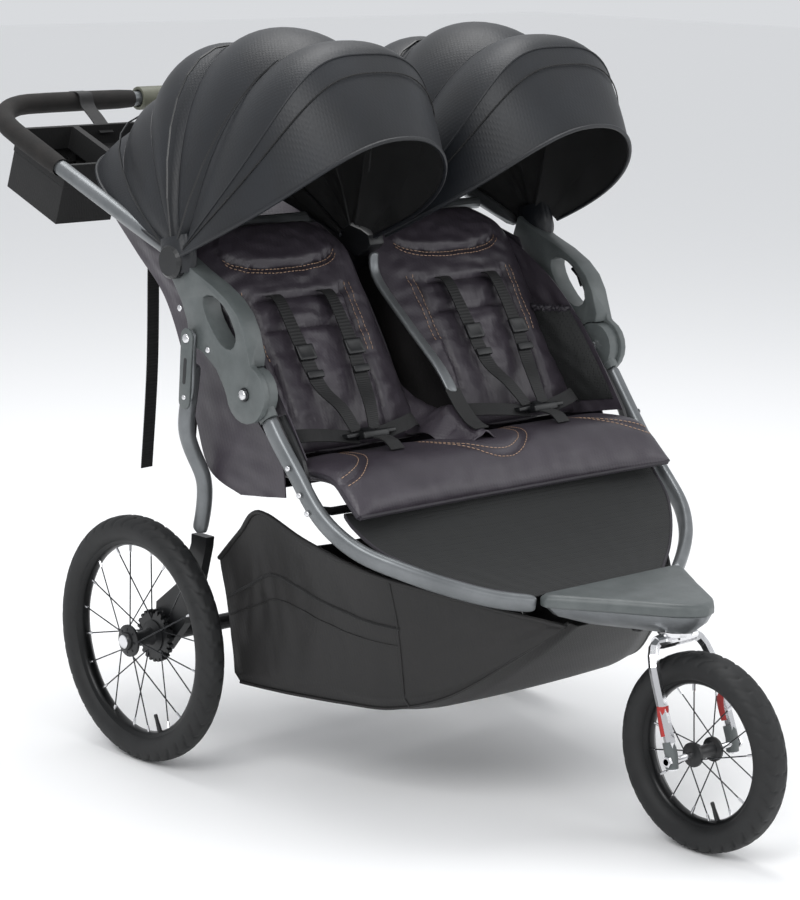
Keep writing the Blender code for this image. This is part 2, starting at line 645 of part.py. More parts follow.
def make_basket(body, mats):
    """Deep cargo bag, open on top behind and under the seat."""
    corners = [(-0.181, 0.147, 0.322), (-0.141, 0.352, 0.322), (-0.250, 0.448, 0.332),
               (-0.360, 0.420, 0.332), (-0.480, 0.392, 0.312), (-0.640, 0.340, 0.172),
               (-0.690, 0.318, 0.105), (-0.640, 0.270, 0.150), (-0.590, 0.215, 0.195),
               (-0.455, 0.153, 0.243)]
    bag = body.add("basket", loft([[(s * w, y, z) for y, z, w in corners] for s in (-1, 1)]),
                   mats["basket_fabric"])
    inner = [(-0.188, 0.152, 0.317), (-0.149, 0.351, 0.317), (-0.240, 0.470, 0.327),
             (-0.360, 0.470, 0.327), (-0.480, 0.440, 0.306), (-0.628, 0.390, 0.166),
             (-0.660, 0.312, 0.105), (-0.632, 0.278, 0.145), (-0.588, 0.221, 0.190),
             (-0.455, 0.158, 0.239)]
    body.cut(bag, loft([[(s * w, y, z) for y, z, w in inner] for s in (-1, 1)]))


# ---- canopies -----------------------------------------------------------------------------------
# bow number, degrees forward of upright, height above the axis, squareness
REAR_BOW = (0, -54, 0.340, 2.3)
MID_BOW = (0, -14, 0.330, 2.2)
FRONT_BOW = (1, 20, 0.345, 2.2)
REAR_EDGE = (0, -64, 0.352, 2.3)
RIDGE = (2, 38, 0.385, 2.5)
LIP = (2, 60, 0.400, 2.2)


def arch(side, bow, grow=0.0, steps=16, start=BOW_START):
    """Points of a bow from its outer end to its inner end."""
    nest, lean_deg, height, power = bow
    outer = 0.3925 + 0.004 * nest + grow
    inner = 0.0300 - 0.004 * nest - grow
    middle, half = (outer + inner) / 2, (outer - inner) / 2
    lean = radians(lean_deg)
    top = height + grow
    first = (start / top) ** (power / 2)
    points = []
    for i in range(steps + 1):
        t = -1 + 2 * i / steps
        low = atan2(first, (1 - first**2) ** 0.5)
        angle = pi / 2 + t * (pi / 2 - low)
        c, s = cos(angle), sin(angle)
        across = half * abs(c) ** (2 / power) * (1 if c > 0 else -1)
        rise = top * abs(s) ** (2 / power)
        points.append(Vector((side * (middle + across), CANOPY_Y - rise * sin(lean), CANOPY_Z + rise * cos(lean))))
    return points


def canopy_panel(side, first, second, bulge, steps=14, rows=3, thick=0.002, ease=0.0):
    """Curved shell from one bow to the next, swelling between them."""
    rings = []
    for row in range(rows + 1):
        t = row / rows
        mixed = [first[0] + (second[0] - first[0]) * t,
                 first[1] + ease + (second[1] - first[1] - 2 * ease) * t,
                 first[2] + (second[2] - first[2]) * t,
                 first[3] + (second[3] - first[3]) * t]
        swell = BOW_R + PANEL_GAP + bulge * sin(pi * t)
        outside = arch(side, mixed, swell + thick, steps, BOW_START + 0.004)
        inside = arch(side, mixed, swell, steps, BOW_START + 0.004)
        rings.append(outside + inside[::-1])
    return loft(rings)


def make_bow(body, name, side, bow, mats):
    body.add(name, sweep(arch(side, bow), oval(2 * BOW_R, 2 * BOW_R, 4)), mats["dark_plastic"])


def make_canopy(upper, label, side, mats):
    cloth = mats["canopy_fabric"]
    axis = (side * 0.21, CANOPY_Y, CANOPY_Z)
    make_bow(upper, "canopy_rear_bow_" + label, side, REAR_BOW, mats)
    upper.add("canopy_rear_panel_" + label, canopy_panel(side, REAR_EDGE, REAR_BOW, 0.0, rows=1), cloth)

    mid = Body("canopy_mid_" + label, axis, upper)
    make_bow(mid, "canopy_mid_bow_" + label, side, MID_BOW, mats)
    mid.add("canopy_mid_panel_" + label, canopy_panel(side, REAR_BOW, MID_BOW, 0.008, ease=0.4), cloth)

    front = Body("canopy_front_" + label, axis, mid)
    make_bow(front, "canopy_front_bow_" + label, side, FRONT_BOW, mats)
    front.add("canopy_front_panel_" + label, canopy_panel(side, MID_BOW, FRONT_BOW, 0.008, ease=0.4), cloth)

    visor = Body("visor_" + label, axis, front)
    make_visor(visor, label, side, cloth)


def make_visor(body, label, side, cloth):
    """Stiff front part of a canopy: from the front bow over the ridge to the lip."""
    start = (2, 21, 0.349, 2.2)
    stations = [start, (2, 30, 0.372, 2.35), RIDGE, (2, 49, 0.397, 2.35), LIP]
    rings = []
    for bow in stations:
        outside = arch(side, bow, 0.0016, 16, BOW_START + 0.006)
        inside = arch(side, bow, -0.0014, 16, BOW_START + 0.006)
        rings.append(outside + inside[::-1])
    body.add("visor_" + label, loft(rings), cloth)


# ---- whole stroller -----------------------------------------------------------------------------
def build():
    clear_scene()
    mats = make_materials()

    frame = Body("frame", (0, 0, 0))
    make_front_frame(frame, mats)
    make_seat_cushion(frame, mats)
    make_footwell(frame, mats)
    make_basket(frame, mats)

    lock = Body("swivel_lock", (0, LOCK_Y, 0.3115), frame)
    heights = ((0.3225, 0.006), (0.3118, 0.006), (0.3115, 0.009), (0.3058, 0.009))
    pin = sweep([(0, LOCK_Y, z) for z, _ in heights], [oval(2 * r, 2 * r, 12) for _, r in heights],
                across=(1, 0, 0))
    lock.add("swivel_lock_knob", pin, mats["dark_plastic"])

    upper = Body("handle_frame", (0, FOLD_Y, FOLD_Z), frame)
    make_handle_frame(upper, mats)
    make_organiser(upper, mats)
    make_divider(upper, mats)
    for label, side in SIDES:
        trigger = Body("fold_trigger_" + label, (side * 0.372, -0.237, 0.753), upper)
        make_trigger(trigger, label, side, mats)
        make_side_panel(upper, label, side, mats)
        back = Body("seat_back_" + label, (side * 0.182, CREASE_Y, CREASE_Z), upper)
        make_seat_back(back, label, side, mats)
        make_canopy(upper, label, side, mats)

    legs = Body("rear_legs", (0, LEG_PIN_Y, LEG_PIN_Z), upper)
    make_rear_legs(legs, mats)
    make_rear_axle(legs, mats)
    pedal = Body("brake_pedal", (0, 0, REAR_R), legs)
    make_brake_pedal(pedal, mats)
    for label, side in SIDES:
        pin_body = Body("brake_pin_" + label, (side * 0.32, 0, REAR_R + BRAKE_PIN_RADIUS), legs)
        make_brake_pin(pin_body, label, side, mats)
        wheel = Body("rear_wheel_" + label, (side * REAR_X, 0, REAR_R), legs)
        make_rear_wheel(wheel, label, side, mats)
        button = Body("release_button_" + label, (side * 0.400, 0, REAR_R), wheel)
        shape = lathe((0, 0, REAR_R), [(0.3985, 0.0060), (0.4040, 0.0060), (0.4055, 0.0048)], 16)
        button.add("release_button_" + label, mirror_x(shape, side), mats["release_bronze"])

    fork = Body("fork", (0, STEER_Y, FORK_CROWN_Z), frame)
    make_fork(fork, mats)
    front_wheel = Body("front_wheel", (0, -WHEELBASE, FRONT_R), fork)
    stations = [(-0.037, 0.013), (-0.036, 0.020), (-0.032, 0.020), (-0.030, 0.012), (0.030, 0.012),
                (0.032, 0.020), (0.036, 0.020), (0.037, 0.013)]
    make_wheel(front_wheel, "front", (0, -WHEELBASE, FRONT_R), FRONT_R, FRONT_TYRE_WIDTH, stations,
               0.034, mats, 0.0054)


build()
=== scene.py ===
from math import atan2, cos, pi, radians, sin, sqrt

import bmesh
import bpy
from mathutils import Matrix, Vector, noise


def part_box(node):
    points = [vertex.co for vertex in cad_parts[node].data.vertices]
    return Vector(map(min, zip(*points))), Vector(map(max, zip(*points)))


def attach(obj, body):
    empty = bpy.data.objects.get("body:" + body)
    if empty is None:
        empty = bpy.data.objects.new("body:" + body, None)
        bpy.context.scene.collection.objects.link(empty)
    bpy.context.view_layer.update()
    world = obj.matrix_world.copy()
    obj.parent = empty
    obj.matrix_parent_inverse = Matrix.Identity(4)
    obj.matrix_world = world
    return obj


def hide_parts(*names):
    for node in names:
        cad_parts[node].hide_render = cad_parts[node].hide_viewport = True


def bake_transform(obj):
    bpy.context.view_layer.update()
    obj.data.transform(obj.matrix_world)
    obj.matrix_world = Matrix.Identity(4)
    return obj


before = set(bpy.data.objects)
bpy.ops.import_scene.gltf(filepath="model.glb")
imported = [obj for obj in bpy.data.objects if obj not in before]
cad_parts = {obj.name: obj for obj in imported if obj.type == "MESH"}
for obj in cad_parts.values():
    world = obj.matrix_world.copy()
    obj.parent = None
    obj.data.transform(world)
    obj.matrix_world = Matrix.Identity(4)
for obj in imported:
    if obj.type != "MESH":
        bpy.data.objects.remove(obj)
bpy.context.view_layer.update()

scene = bpy.context.scene


def middleOf(node):
    low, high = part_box(node)
    return (low + high) / 2


axleY = middleOf("rear_left_tyre").y      # every depth below is counted from the rear axle
canopyY, canopyZ = -0.115 + axleY, 0.823   # axis that the canopies turn on


def at(x, y, z):
    return Vector((x, y + axleY, z))


# working helpers

def deselectAll():
    if bpy.context.object and bpy.context.object.mode != "OBJECT":
        bpy.ops.object.mode_set(mode="OBJECT")
    bpy.ops.object.select_all(action="DESELECT")


def pick(piece):
    deselectAll()
    piece.select_set(True)
    bpy.context.view_layer.objects.active = piece


def applyModifiers(piece):
    pick(piece)
    for modifier in list(piece.modifiers):
        bpy.ops.object.modifier_apply(modifier=modifier.name)


def addModifier(piece, kind, **settings):
    modifier = piece.modifiers.new(kind.title(), kind)
    for key, value in settings.items():
        setattr(modifier, key, value)
    return modifier


def subdivide(piece, levels=1):
    addModifier(piece, "SUBSURF", levels=levels, render_levels=levels)
    applyModifiers(piece)


def thicken(piece, thickness, offset=0.0):
    addModifier(piece, "SOLIDIFY", thickness=thickness, offset=offset)
    applyModifiers(piece)


def outward(piece):
    pick(piece)
    bpy.ops.object.mode_set(mode="EDIT")
    bpy.ops.mesh.select_all(action="SELECT")
    bpy.ops.mesh.remove_doubles(threshold=0.00002)
    bpy.ops.mesh.normals_make_consistent(inside=False)
    bpy.ops.object.mode_set(mode="OBJECT")


def dress(piece, body, material, angle=40.0):
    piece.data.materials.clear()
    piece.data.materials.append(material)
    pick(piece)
    bpy.ops.object.shade_smooth_by_angle(angle=radians(angle))
    if body:
        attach(piece, body)
    return piece


# a grid whose vertices are put in place by a function of (0..1, 0..1)
def gridPiece(name, across, along, place):
    deselectAll()
    bpy.ops.mesh.primitive_grid_add(x_subdivisions=across, y_subdivisions=along, size=2)
    piece = bpy.context.object
    piece.name = name
    for vertex in piece.data.vertices:
        vertex.co = place((vertex.co.x + 1) / 2, (vertex.co.y + 1) / 2)
    return piece


# a round bar along points, with one radius or a radius for each point
def tubePiece(name, points, radius, sides=10, closed=False):
    line = bpy.data.curves.new(name, "CURVE")
    line.dimensions = "3D"
    spline = line.splines.new("POLY")
    spline.points.add(len(points) - 1)
    for i, p in enumerate(points):
        spline.points[i].co = (*p, 1.0)
        spline.points[i].radius = radius[i] if isinstance(radius, (list, tuple)) else 1.0
    spline.use_cyclic_u = closed
    line.bevel_depth = 1.0 if isinstance(radius, (list, tuple)) else radius
    line.bevel_resolution = max(0, (sides - 4) // 2)
    line.use_fill_caps = True
    piece = bpy.data.objects.new(name, line)
    scene.collection.objects.link(piece)
    pick(piece)
    bpy.ops.object.convert(target="MESH")
    return bpy.context.object


def curvePoints(anchors, steps=8, closed=False):
    count = len(anchors)
    points = []
    for i in range(count if closed else count - 1):
        if closed:
            a, b, c, d = (Vector(anchors[(i + k) % count]) for k in (-1, 0, 1, 2))
        else:
            a, b, c, d = (Vector(anchors[min(max(i + k, 0), count - 1)]) for k in (-1, 0, 1, 2))
        for step in range(steps):
            t = step / steps
            points.append(0.5 * ((2 * b) + (c - a) * t + (2 * a - 5 * b + 4 * c - d) * t**2
                                 + (3 * b - a - 3 * c + d) * t**3))
    if not closed:
        points.append(Vector(anchors[-1]))
    return points


# a turned piece: stations are (along the axis, radius); the axis is a vector
def turnedPiece(name, centre, axis, stations, sides=32):
    deselectAll()
    bpy.ops.mesh.primitive_circle_add(vertices=sides, radius=1, fill_type="NGON")
    piece = bpy.context.object
    piece.name = name
    bpy.ops.object.mode_set(mode="EDIT")
    bpy.ops.mesh.select_all(action="SELECT")
    first = stations[0]
    bpy.ops.transform.resize(value=(first[1],) * 3)
    bpy.ops.transform.translate(value=(0, 0, first[0]))
    for before, after in zip(stations, stations[1:]):
        bpy.ops.mesh.extrude_region_move(TRANSFORM_OT_translate={"value": (0, 0, after[0] - before[0])})
        bpy.ops.transform.resize(value=(after[1] / before[1], after[1] / before[1], 1))
    bpy.ops.object.mode_set(mode="OBJECT")
    turn = Vector((0, 0, 1)).rotation_difference(Vector(axis).normalized()).to_matrix().to_4x4()
    piece.data.transform(Matrix.Translation(Vector(centre)) @ turn)
    outward(piece)
    return piece


# a plate: an outline in depth and height, from one x to another
def platePiece(name, outline, lowX, highX, bevel=0.0, segments=2):
    deselectAll()
    bpy.ops.mesh.primitive_circle_add(vertices=len(outline), radius=1, fill_type="NGON")
    piece = bpy.context.object
    piece.name = name
    for vertex, (y, z) in zip(piece.data.vertices, outline):
        vertex.co = at(lowX, y, z)
    bpy.ops.object.mode_set(mode="EDIT")
    bpy.ops.mesh.select_all(action="SELECT")
    bpy.ops.mesh.extrude_region_move(TRANSFORM_OT_translate={"value": (highX - lowX, 0, 0)})
    bpy.ops.object.mode_set(mode="OBJECT")
    outward(piece)
    if bevel:
        addModifier(piece, "BEVEL", width=bevel, segments=segments, limit_method="ANGLE",
                    angle_limit=radians(35))
        applyModifiers(piece)
    return piece


# a flat band of webbing along points; acrossWay is the direction of its width
def bandPiece(name, points, width, thickness, acrossWay):
    count = len(points)

    def place(u, v):
        where = v * (count - 1)
        i = min(int(where), count - 2)
        spot = points[i].lerp(points[i + 1], where - i)
        varies = isinstance(acrossWay, list)
        way = acrossWay[i].lerp(acrossWay[i + 1], where - i) if varies else Vector(acrossWay)
        return spot + way.normalized() * (u - 0.5) * width

    piece = gridPiece(name, 4, count, place)
    thicken(piece, thickness)
    return piece


def mergePieces(name, pieces):
    deselectAll()
    for piece in pieces:
        piece.select_set(True)
    bpy.context.view_layer.objects.active = pieces[0]
    if len(pieces) > 1:
        bpy.ops.object.join()
    pieces[0].name = name
    return pieces[0]


# short raised stitches along a line, a little proud of the cloth
def stitchPiece(name, points, away, length=0.0055, gap=0.0022, thick=0.0007):
    mesh = bmesh.new()
    nextStart = 0.0
    marks = [0.0]
    for a, b in zip(points, points[1:]):
        marks.append(marks[-1] + (b - a).length)

    def along(distance):
        for i in range(len(marks) - 1):
            if distance <= marks[i + 1]:
                share = (distance - marks[i]) / max(marks[i + 1] - marks[i], 1e-9)
                return points[i].lerp(points[i + 1], share), away(points[i].lerp(points[i + 1], share))
        return points[-1], away(points[-1])

    while nextStart + length < marks[-1]:
        (a, up), (b, _) = along(nextStart), along(nextStart + length)
        way = (b - a).normalized()
        across = way.cross(up).normalized()
        rings = []
        for spot, size in ((a, 0.45), (a.lerp(b, 0.25), 1.0), (a.lerp(b, 0.75), 1.0), (b, 0.45)):
            lift = up * (thick * size)
            ring = [spot + across * thick * size, spot + lift, spot - across * thick * size,
                    spot - up * 0.0006]
            rings.append([mesh.verts.new(p) for p in ring])
        for first, second in zip(rings, rings[1:]):
            for k in range(4):
                mesh.faces.new((first[k], first[(k + 1) % 4], second[(k + 1) % 4], second[k]))
        mesh.faces.new(rings[0][::-1])
        mesh.faces.new(rings[-1])
        nextStart += length + gap
    bmesh.ops.recalc_face_normals(mesh, faces=mesh.faces)
    data = bpy.data.meshes.new(name)
    mesh.to_mesh(data)
    mesh.free()
    piece = bpy.data.objects.new(name, data)
    scene.collection.objects.link(piece)
    return piece


# finishes

def linear(hexColour):
    values = [int(hexColour[i:i + 2], 16) / 255 for i in (1, 3, 5)]
    return (*(v / 12.92 if v <= 0.04045 else ((v + 0.055) / 1.055) ** 2.4 for v in values), 1.0)


def newMaterial(name, colour, roughness, metallic=0.0, **sockets):
    material = bpy.data.materials.new(name)
    material.use_nodes = True
    shader = material.node_tree.nodes["Principled BSDF"]
    shader.inputs["Base Color"].default_value = linear(colour)
    shader.inputs["Roughness"].default_value = roughness
    shader.inputs["Metallic"].default_value = metallic
    for key, value in sockets.items():
        shader.inputs[key.replace("_", " ")].default_value = value
    return material, shader


def addNode(material, kind, inputs=None, **settings):
    node = material.node_tree.nodes.new("ShaderNode" + kind)
    for key, value in settings.items():
        setattr(node, key, value)
    for key, value in (inputs or {}).items():
        if isinstance(value, bpy.types.NodeSocket):
            material.node_tree.links.new(value, node.inputs[key])
        else:
            node.inputs[key].default_value = value
    return node


def wire(material, output, socket):
    material.node_tree.links.new(output, socket)


def perMetre(millimetres):
    return 1000.0 / millimetres


# two colours mixed by a soft cloudy pattern; both are near each other, as dye and dust leave them
def cloudColour(material, shader, dark, light, sizeMm, fromValue=0.35, toValue=0.7):
    coordinates = addNode(material, "TexCoord")
    cloud = addNode(material, "TexNoise", {"Vector": coordinates.outputs["Object"], "Scale": perMetre(sizeMm),
                                           "Detail": 4.0, "Roughness": 0.6})
    spread = addNode(material, "MapRange", {"Value": cloud.outputs["Fac"], "From Min": fromValue,
                                            "From Max": toValue})
    mix = addNode(material, "Mix", {"Factor": spread.outputs["Result"]}, data_type="RGBA")
    mix.inputs[6].default_value = linear(dark)
    mix.inputs[7].default_value = linear(light)
    wire(material, mix.outputs[2], shader.inputs["Base Color"])
    return coordinates


def bumpFrom(material, shader, height, distanceMm, strength=0.6):
    bump = addNode(material, "Bump", {"Height": height, "Strength": strength, "Distance": distanceMm / 1000})
    wire(material, bump.outputs["Normal"], shader.inputs["Normal"])
    return bump


def roughnessFrom(material, shader, value, low, high):
    spread = addNode(material, "MapRange", {"Value": value, "To Min": low, "To Max": high})
    wire(material, spread.outputs["Result"], shader.inputs["Roughness"])


# powder coat over aluminium tube: silver grey with a fine orange peel and a soft sheen
def powderCoat():
    material, shader = newMaterial("powder coated aluminium", "#85888a", 0.36, 0.62)
    coordinates = cloudColour(material, shader, "#696c6e", "#797c7e", 60)
    peel = addNode(material, "TexNoise", {"Vector": coordinates.outputs["Object"], "Scale": perMetre(1.2),
                                          "Detail": 2.0})
    bumpFrom(material, shader, peel.outputs["Fac"], 0.05, 0.5)
    roughnessFrom(material, shader, peel.outputs["Fac"], 0.30, 0.44)
    return material


# glass-filled nylon from a spark-eroded mould: grey, even, faintly pebbled
def mouldedNylon(name, dark, light, roughness):
    material, shader = newMaterial(name, light, roughness)
    coordinates = cloudColour(material, shader, dark, light, 35)
    pebble = addNode(material, "TexVoronoi",
                     {"Vector": coordinates.outputs["Object"], "Scale": perMetre(0.9)})
    bumpFrom(material, shader, pebble.outputs["Distance"], 0.06, 0.5)
    roughnessFrom(material, shader, pebble.outputs["Distance"], roughness - 0.06, roughness + 0.08)
    return material


# bright plated steel: a clear mirror with faint wipe marks
def platedSteel(name, colour, roughness):
    material, shader = newMaterial(name, colour, roughness, 1.0)
    coordinates = addNode(material, "TexCoord")
    wipe = addNode(material, "TexNoise", {"Vector": coordinates.outputs["Object"], "Scale": perMetre(9),
                                          "Detail": 5.0})
    roughnessFrom(material, shader, wipe.outputs["Fac"], roughness * 0.6, roughness * 1.7)
    return material


# closed-cell EVA foam sleeve: matt, warm black, tiny open pores
def foamSleeve():
    material, shader = newMaterial("eva foam", "#211e1c", 0.88)
    coordinates = cloudColour(material, shader, "#12100f", "#1d1a18", 25)
    pores = addNode(material, "TexVoronoi", {"Vector": coordinates.outputs["Object"], "Scale": perMetre(1.6)})
    bumpFrom(material, shader, pores.outputs["Distance"], 0.35, 0.8)
    return material


# moulded tyre rubber: blue-black, dusty where it has rolled
def tyreRubber():
    material, shader = newMaterial("moulded tyre rubber", "#26282a", 0.62)
    coordinates = cloudColour(material, shader, "#0c0d0e", "#151617", 30)
    grain = addNode(material, "TexNoise", {"Vector": coordinates.outputs["Object"], "Scale": perMetre(1.0),
                                           "Detail": 3.0})
    bumpFrom(material, shader, grain.outputs["Fac"], 0.12, 0.5)
    roughnessFrom(material, shader, grain.outputs["Fac"], 0.52, 0.74)
    return material


# black anodised rim: deep, satin, slightly metallic
def anodised():
    material, shader = newMaterial("black anodised aluminium", "#0e0f10", 0.28, 0.5)
    coordinates = addNode(material, "TexCoord")
    brush = addNode(material, "TexNoise", {"Vector": coordinates.outputs["Object"], "Scale": perMetre(3),
                                           "Detail": 4.0})
    roughnessFrom(material, shader, brush.outputs["Fac"], 0.22, 0.4)
    return material


# woven cloth: two crossed thread waves, drawn 2 to 3 times coarser than the real yarn so that they show
def wovenCloth(name, dark, light, threadMm, roughness, sheen, cloudMm=45, depthMm=0.18):
    material, shader = newMaterial(name, light, roughness, Sheen_Weight=sheen, Sheen_Roughness=0.45)
    shader.inputs["Sheen Tint"].default_value = linear(light)
    coordinates = cloudColour(material, shader, dark, light, cloudMm)
    wave = []
    for tilt in ((0.2, 0.15, 0.75), (1.0, 0.6, 0.1)):
        turned = addNode(material, "Mapping", {"Vector": coordinates.outputs["Object"], "Rotation": tilt})
        wave.append(addNode(material, "TexWave", {"Vector": turned.outputs["Vector"],
                                                  "Scale": perMetre(threadMm) / 6.28, "Distortion": 0.8,
                                                  "Detail": 1.0}, bands_direction="X"))
    cross = addNode(material, "Math", {0: wave[0].outputs["Fac"], 1: wave[1].outputs["Fac"]},
                    operation="MULTIPLY")
    slub = addNode(material, "TexNoise", {"Vector": coordinates.outputs["Object"], "Scale": perMetre(4),
                                          "Detail": 6.0, "Roughness": 0.7})
    height = addNode(material, "Math", {0: cross.outputs[0], 1: slub.outputs["Fac"]}, operation="ADD")
    bumpFrom(material, shader, height.outputs[0], depthMm, 0.7)
    roughnessFrom(material, shader, slub.outputs["Fac"], roughness - 0.08, roughness + 0.1)
    return material


# ribbed cloth or webbing: straight ribs on one direction of the piece's own grid, with painted shade: the rib
# valleys are painted darker than the rib tops
def ribbedCloth(name, dark, light, ribs, roughness, along="X", depthMm=0.6):
    material, shader = newMaterial(name, light, roughness, Sheen_Weight=0.04, Sheen_Roughness=0.5)
    coordinates = addNode(material, "TexCoord")
    wave = addNode(material, "TexWave", {"Vector": coordinates.outputs["UV"], "Scale": ribs / 6.28 * 1.0,
                                         "Distortion": 0.0}, bands_direction=along)
    # painted shade: the dark colour falls in the low rib valleys, the light colour on the rib tops
    mix = addNode(material, "Mix", {"Factor": wave.outputs["Fac"]}, data_type="RGBA")
    mix.inputs[6].default_value = linear(dark)
    mix.inputs[7].default_value = linear(light)
    wire(material, mix.outputs[2], shader.inputs["Base Color"])
    bumpFrom(material, shader, wave.outputs["Fac"], depthMm, 0.8)
    return material


# knitted air mesh: round holes between the threads, painted as near-black dots: painted shade seen through the
# holes
def airMesh(name, thread, holeShade, spacingMm):
    material, shader = newMaterial(name, thread, 0.75, Sheen_Weight=0.05)
    coordinates = addNode(material, "TexCoord")
    cells = addNode(material, "TexVoronoi",
                    {"Vector": coordinates.outputs["Object"], "Scale": perMetre(spacingMm),
                     "Randomness": 0.25})
    spread = addNode(material, "MapRange", {"Value": cells.outputs["Distance"], "From Min": 0.25,
                                            "From Max": 0.42})
    # painted shade: the holes get the near-black colour
    mix = addNode(material, "Mix", {"Factor": spread.outputs["Result"]}, data_type="RGBA")
    mix.inputs[6].default_value = linear(holeShade)
    mix.inputs[7].default_value = linear(thread)
    wire(material, mix.outputs[2], shader.inputs["Base Color"])
    bumpFrom(material, shader, spread.outputs["Result"], 0.5, 0.8)
    return material


finishes = {
    "paint": powderCoat(),
    "casing": mouldedNylon("grey glass-filled nylon", "#4d5252", "#5a5f5f", 0.42),
    "nylon": mouldedNylon("black glass-filled nylon", "#0e0f10", "#17181a", 0.38),
    "housing": mouldedNylon("olive grey nylon", "#55564a", "#626356", 0.5),
    "chrome": platedSteel("chrome plated steel", "#d8d8da", 0.12),
    "spoke": platedSteel("black plated spoke wire", "#3a3b3d", 0.25),
    "bronze": platedSteel("bronze anodised button", "#8a5d43", 0.3),
    "foam": foamSleeve(),
    "tyre": tyreRubber(),
    "rim": anodised(),
    "seat": wovenCloth("satin woven polyester", "#332e35", "#3e3940", 2.4, 0.42, 0.06, 80),
    "piping": wovenCloth("seat piping tape", "#242127", "#2e2a31", 2.0, 0.6, 0.08),
    "canopy": wovenCloth("coated canopy twill", "#0a0d12", "#10141a", 2.6, 0.5, 0.06, 90),
    # the first colours of the ribbed lining and of the webbing are painted shade in their rib valleys
    "lining": ribbedCloth("ribbed black lining", "#030304", "#0d0d0e", 520.0, 0.75, "Y"),
    "basket": wovenCloth("basket polyester", "#090808", "#0f0d0d", 2.2, 0.5, 0.06, 70),
    # the air mesh's second colour is painted shade in its holes
    "mesh": airMesh("polyester air mesh", "#131515", "#040505", 4.5),
    "webbing": ribbedCloth("nylon webbing", "#070708", "#161617", 140.0, 0.6, "Y", 0.3),
    "neoprene": wovenCloth("laminated neoprene", "#080809", "#101010", 2.0, 0.7, 0.05, 60),
    "thread": newMaterial("tan bonded thread", "#a88a72", 0.6)[0],
    "redBand": newMaterial("red vinyl band", "#a3231f", 0.4)[0],
}
print("finishes ready")

# camera, floor and lights

view = {"azimuth": -42.0375, "elevation": 11.4328, "roll": 0.8336, "spot": (-2.9528, -3.4765, 1.3859),
        "lens": 111.12}


def makeCamera():
    bpy.ops.object.camera_add(location=at(*view["spot"]))
    camera = bpy.context.object
    camera.name = "camera"
    a, e, roll = (radians(view[k]) for k in ("azimuth", "elevation", "roll"))
    back = Vector((sin(a) * cos(e), -cos(a) * cos(e), sin(e)))
    right = (-back).cross(Vector((0, 0, 1))).normalized()
    up = back.cross(right)
    right, up = cos(roll) * right + sin(roll) * up, -sin(roll) * right + cos(roll) * up
    turn = Matrix((right, up, back)).transposed().to_4x4()
    camera.matrix_world = Matrix.Translation(at(*view["spot"])) @ turn
    camera.data.lens = view["lens"]
    camera.data.sensor_width = 36
    camera.data.sensor_fit = "AUTO"
    camera.data.clip_end = 60
    scene.camera = camera


def makeStudio():
    deselectAll()
    bpy.ops.mesh.primitive_plane_add(size=40, location=(0, 0, 0))
    floor = bpy.context.object
    floor.name = "studio floor"
    paper = newMaterial("studio paper", "#fafafa", 0.8)[0]
    floor.data.materials.append(paper)
    for name, spot, size, power in (("key light", (-3.2, -1.6, 3.4), 2.0, 80),
                                    ("fill light", (2.8, -2.6, 2.0), 2.4, 26),
                                    ("top light", (0.3, 0.9, 3.8), 2.4, 80),
                                    ("front light", (-0.6, -4.4, 1.6), 1.6, 22)):
        bpy.ops.object.light_add(type="AREA", location=spot)
        light = bpy.context.object
        light.name = name
        light.data.size = size
        light.data.energy = power
        light.rotation_euler = (Vector((0, 0, 0.6)) - Vector(spot)).to_track_quat("-Z", "Y").to_euler()
    world = bpy.data.worlds.new("studio air")
    scene.world = world
    world.use_nodes = True
    air = world.node_tree.nodes["Background"]
    air.inputs["Color"].default_value = (0.95, 0.97, 1.0, 1)
    air.inputs["Strength"].default_value = 0.74
    scene.view_settings.view_transform = "Standard"
    scene.view_settings.exposure = -0.02


makeCamera()
makeStudio()
print("camera and studio ready")

# which finish each carried-over node has, by the start of its name

nodeFinish = {
    "paint": ("side_tube", "nose_casting", "handle_tube", "cross_tube", "rear_leg_", "divider_strut"),
    "casing": ("hub_socket", "casing_", "nose_cover"),
    "housing": ("handle_housing",),
    "chrome": ("fork", "fold_bolt", "brake_pin"),
    "foam": ("grip",),
    "nylon": ("swivel_lock", "seat_rail", "canopy_hinge", "canopy_mount", "canopy_rear_bow", "canopy_mid_bow",
              "canopy_front_bow", "fold_trigger", "rear_axle", "brake_pedal"),
    "bronze": ("release_button",),
    "tyre": ("rear_left_tyre", "rear_right_tyre", "front_tyre"),
    "rim": ("rear_left_wheel", "rear_right_wheel", "front_wheel"),
    "seat": ("seat_back", "seat_cushion", "side_panel"),
    "canopy": ("canopy_rear_panel", "canopy_mid_panel", "canopy_front_panel", "visor"),
    "basket": ("basket", "organiser"),
    "mesh": ("footwell",),
}
for finishName, starts in nodeFinish.items():
    for nodeName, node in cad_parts.items():
        if nodeName.startswith(starts):
            node.data.materials.clear()
            node.data.materials.append(finishes[finishName])
print("frame finished")

# canopies

# each seam: degrees forward of upright at its top and at its foot, then height above the axis,
# half width and squareness
canopySeams = {
    "hem": (-69.5, -71.0, 0.378, 0.173, 2.6),
    "tail": (-56.6, -65.0, 0.337, 0.171, 2.2),
    "back": (-42.5, -31.0, 0.323, 0.180, 2.05),
    "crown": (-13.0, -12.0, 0.326, 0.175, 1.9),
    "brow": (21.5, 16.0, 0.352, 0.168, 2.35),
    "ridge": (34.5, 46.0, 0.388, 0.190, 3.0),
    "lip": (57.1, 66.5, 0.370, 0.200, 2.25),
}
canopyMiddle = 0.203      # middle of one canopy from the stroller's middle
canopyFoot = 0.034        # the cloth starts this far from the turning axis


